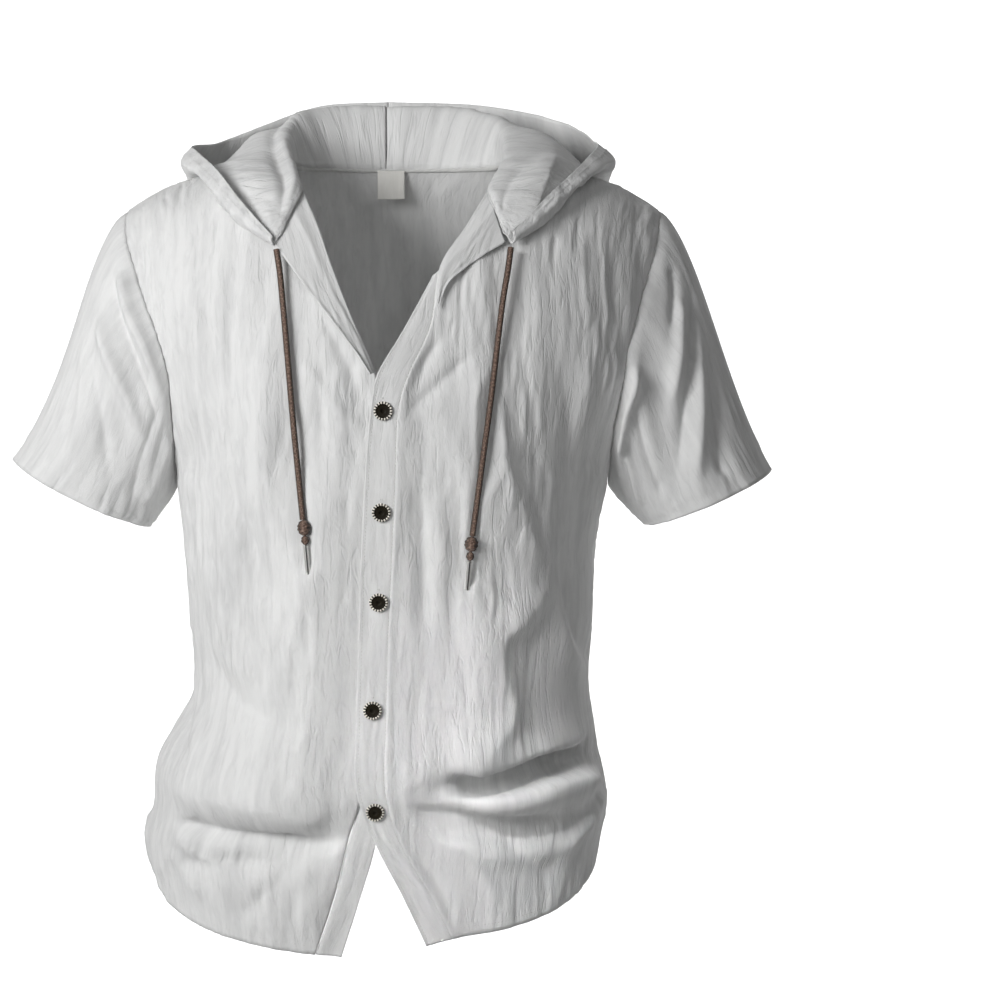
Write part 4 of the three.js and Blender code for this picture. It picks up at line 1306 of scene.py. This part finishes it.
def hood_half(side):
    stations = {"right": HOOD_RIGHT, "left": HOOD_LEFT}[side]
    shift = {"right": -0.2, "left": 0.2}[side]
    seed = {"right": 101, "left": 111}[side]
    way = {"right": 1, "left": -1}[side]

    def form(u, v):
        p = hood(stations, u, v)
        p[..., 0] += shift
        return p

    size = Measure(form, (0, 8), (0, 5), 5.0)

    def relief(u, v, p):
        s = u * STATION
        l = size.along(v)
        out, sag = creases(s, v * GUIDE, HOOD_CREASES[side])
        ends = smooth(u / 0.8) * smooth((8 - u) / 0.35)
        out = out * ends * smooth(v / 0.5) * smooth((5 - v) / 0.35)
        inside = smooth((1.3 - v) / 0.4)
        rough = crinkle(s, l, seed) * smooth(v / 0.3) * (0.3 + 0.7 * ends) * (1 - 0.6 * inside)
        rough = rough + 1.8 * noise(s / 15, l / 70, seed + 9) * inside * smooth(v / 0.2)
        from_sewing = size.length[-1] - l - CASING_SEWING
        out = out + rough * 0.8 + pucker(s, from_sewing, seed + 3)
        return out + groove(from_sewing, 0.5, 1.3) + groove((8 - u) * STATION, 0.35, 2.2), sag

    at = dressed(form, way, relief, (0, 8), (0, 5))
    cols = int(430 / (2.7 * FINE))
    u, v = np.meshgrid(np.linspace(0, 8, cols), size.rows(2.8 * FINE))
    points = at(u, v)
    points[:, -1, 0] = form(u, v)[:, -1, 0]
    points[0, :, 2] -= 3.5 * smooth((u[0] - 3.5) / 1.5)
    grain = stack(u * STATION, size.along(v))
    obj = cloth_panel(f"hood_{side}", points, grain, COTTON, THICK, way)
    obj.modifiers["cloth thickness"].offset = 0
    area_of(form(u, v))
    return at, size


HOOD_AT = {side: hood_half(side) for side in SIDES}


def neck_tape():
    t, q = np.meshgrid(np.linspace(-0.345, 0.345, int(90 / FINE)), np.linspace(0.12, 1.22, 11))
    low = back(t, np.full_like(t, 15.0))
    high = back(t, np.full_like(t, TOP_EDGE))
    face = lerp(low, high, q[..., None])
    inward = unit(np.array([0, 0, -50.0]) - face)
    wave = 0.25 * noise(t * 60, q * 1.5, 7) - 1.2 * np.abs(q - 0.67) ** 2
    points = face + inward * (2.1 + wave)[..., None]
    obj = cloth_panel("neck_tape", points, stack(t * 420, q * 14), TAPE_COTTON, 0.8, -1)
    long = float(run_of(points[5])[-1]) * MM
    area_of(points) * 0.999


neck_tape()


def neck_label():
    wide = 26
    tall = 27
    a, b = np.meshgrid(np.linspace(-0.5, 0.5, 27), np.linspace(-0.5, 0.5, 29))
    bow = 0.5 * (1 - (2 * a) ** 2) * (0.5 - b) + 0.15 * noise(a * 6, b * 6, 3)
    tilt = math.radians(-4)
    x = -1 + a * wide
    y = 74.8 - bow * 0.8 - b * tall * math.sin(tilt)
    z = -13.2 + b * tall * math.cos(tilt)
    grain = stack(a * wide, b * tall)
    obj = cloth_panel("label", stack(x, y, z), grain, LABEL_COTTON, 0.6)


neck_label()

# Buttons: x z of each centre, and the radii of the rim and the dark core.
BUTTONS = [(1, -209), (-1, -299), (-4, -380), (-10, -478), (-8, -570)]
RIM = 8.4
CORE = 6.3


def placket_face(z):
    ks = np.linspace(0, TOP, 1601)
    line = front(FRONT_LEFT, np.zeros_like(ks), ks)
    return float(np.interp(z, line[:, 2], line[:, 1])) - PLACKET_LIFT


def button(index, x, z):
    """A lathe-turned button: a flat dark core with a small dimple, in a raised rim."""
    profile = [
        (1.15, 0.5), (1.2, 1.95), (3.4, 1.9), (CORE - 0.25, 2.0), (CORE, 2.15), (CORE + 0.25, 2.3),
        (6.7, 2.5), (7.8, 2.35), (RIM - 0.1, 1.9), (RIM, 1.3), (RIM - 0.25, 0.5), (7.4, 0.1),
        (1.15, 0.1),
    ]
    sides = 64
    floor_sides = 16
    rows = len(profile)
    spin = 0.9 * index
    angle = 2 * np.pi * np.arange(sides) / sides + spin
    radius, height = np.array(profile).T
    verts = stack(radius[:, None] * np.cos(angle), radius[:, None] * np.sin(angle), height[:, None])
    corners, faces = grid_faces(rows + 1, sides, True)
    faces = [[v % (rows * sides) for v in face] for face in faces]
    grain = stack(np.arange(sides + 1) / sides, np.arange(rows + 1)[:, None] / rows)
    slots = [1 if 4 <= i // sides <= 9 else 0 for i in range(len(faces))]
    floor_angle = 2 * np.pi * np.arange(floor_sides) / floor_sides + spin
    floor = stack(1.25 * np.cos(floor_angle), 1.25 * np.sin(floor_angle), 1.2)
    verts = np.concatenate([verts.reshape(-1, 3), floor])
    faces.append([rows * sides + m for m in range(floor_sides)])
    uv = np.concatenate([grid_uv(corners, grain) / MM, np.full((floor_sides, 2), 0.5)])
    slots.append(0)

    slope = math.atan((placket_face(z + 8) - placket_face(z - 8)) / 16)
    c = math.cos(math.pi / 2 - slope)
    s = math.sin(math.pi / 2 - slope)
    px, py, pz = verts.T
    placed = stack(x + px, placket_face(z) - 0.45 + py * c - pz * s, z + py * s + pz * c)
    name = f"visual_button_{index}"
    mesh = mesh_of(name, placed, faces, [BUTTON_CORE, BUTTON_RIM], uv)
    mesh.polygons.foreach_set("material_index", slots)
    new_object(name, mesh, f"button_{index}")


for index, (x, z) in enumerate(BUTTONS, 1):
    button(index, x, z)


# Rows of sewing on the cloth
def sew(name, at, *lines):
    """Rows of stitches, each along a line of the panel's own coordinates."""
    verts = []
    faces = []
    for a, b in lines:
        up = unit(at(a, b, 1.0) - at(a, b, 0.0))
        stitches(at(a, b, 0.15), up, verts, faces)
    new_object(name, mesh_of(name, verts, faces, [THREAD]))


def level(a, b):
    return a, np.full_like(a, b)


def sewing():
    hem = np.linspace(0.03, 0.985, 300)
    cuff = np.linspace(0, 1, 420)
    casing = np.linspace(0.4, 7.95, 420)
    for side in SIDES:
        at, size = FRONT_AT[side]
        sew(f"hem_stitches_{side}", at, level(hem, size.at_length(HEM_SEWING)))
        at, size = SLEEVE_AT[side]
        row = size.at_length(size.length[-1] - CUFF_SEWING)
        sew(f"cuff_stitches_{side}", at, level(cuff, row))
        at, size = HOOD_AT[side]
        row = size.at_length(size.length[-1] - CASING_SEWING)
        sew(f"casing_stitches_{side}", at, level(casing, row))
    at, size = BACK_AT
    t = np.linspace(-0.985, 0.985, 600)
    sew("hem_stitches_back", at, level(t, size.at_length(HEM_SEWING)))
    at, size = PLACKET_AT
    k = np.linspace(0.1, 11.6, 700)
    wide = size.width(k)
    sew("placket_stitches", at, (SEAM_SEWING / wide, k), (1 - EDGE_SEWING / wide, k))
    holes = []
    seam = front(FRONT_LEFT, np.zeros_like(size.bs), size.bs)
    for x, z in BUTTONS:
        low, high = np.interp([z + 9.5, z + 15], seam[:, 2], size.bs)
        seam_x = np.interp(z + 12, seam[:, 2], seam[:, 0]) + 2
        for aside in (-0.7, 0.7):
            q = (seam_x - x - aside) / size.width(low)
            holes.append((np.full(12, q), np.linspace(low, high, 12)))
    sew("buttonhole_stitches", at, *holes)


sewing()


# Stage: a plain pale sweep, and soft light from the viewer's left.
FLOOR = -1.5
WALL = 4.4


def backdrop():
    bend = 1.4
    half = 4.5
    profile = [(-1.0, FLOOR)]
    for i in range(13):
        angle = math.radians(90 * i / 12)
        y = WALL - bend + bend * math.sin(angle)
        profile.append((y, FLOOR + bend * (1 - math.cos(angle))))
    profile.append((WALL, 5.0))
    points = [[(side * half / MM, y / MM, z / MM) for side in (-1, 1)] for y, z in profile]
    faces = [(2 * i, 2 * i + 1, 2 * i + 3, 2 * i + 2) for i in range(len(profile) - 1)]
    look = Look("pale sweep", {
        "Base Color": (0.9, 0.9, 0.9, 1), "Roughness": 0.9, "Emission Color": (1, 1, 1, 1),
    })
    place = look.node("NewGeometry", {}).outputs["Position"]
    depth = look.node("SeparateXYZ", {0: place}).outputs[1]
    glow = look.node("MapRange", {"Value": depth, "From Min": 0.9, "From Max": 1.7})
    look.fill(look.shader, {"Emission Strength": glow.outputs[0]})
    obj = bpy.data.objects.new("backdrop", mesh_of("backdrop", points, faces, [look.material]))
    bpy.context.collection.objects.link(obj)


def area_light(name, place, target, size, power, spread=180):
    data = bpy.data.lights.new(name, "AREA")
    data.shape = "DISK"
    data.size = size
    data.energy = power
    data.spread = math.radians(spread)
    obj = bpy.data.objects.new(name, data)
    obj.location = place
    way = np.array(target) - np.array(place)
    yaw = math.atan2(way[1], way[0])
    tilt = math.atan2(math.hypot(way[0], way[1]), -way[2])
    obj.rotation_euler = (tilt, 0, yaw - math.pi / 2)
    bpy.context.collection.objects.link(obj)


def lighting():
    area_light("key", (-1.25, -1.5, 0.36), (0, 0, -0.3), 1.0, 32)
    area_light("low", (-0.4, -1.35, 0.8), (0.17, -0.1, -0.66), 0.2, 0.12, 14)
    area_light("fill", (0.4, -2.6, 0.9), (0, 0, -0.2), 1.6, 7)
    world = bpy.data.worlds.new("studio")
    world.use_nodes = True
    sky = world.node_tree.nodes["Background"]
    sky.inputs["Color"].default_value = (1, 1, 1, 1)
    sky.inputs["Strength"].default_value = 0.1
    bpy.context.scene.world = world
    bpy.context.scene.view_settings.view_transform = "Standard"


backdrop()
lighting()
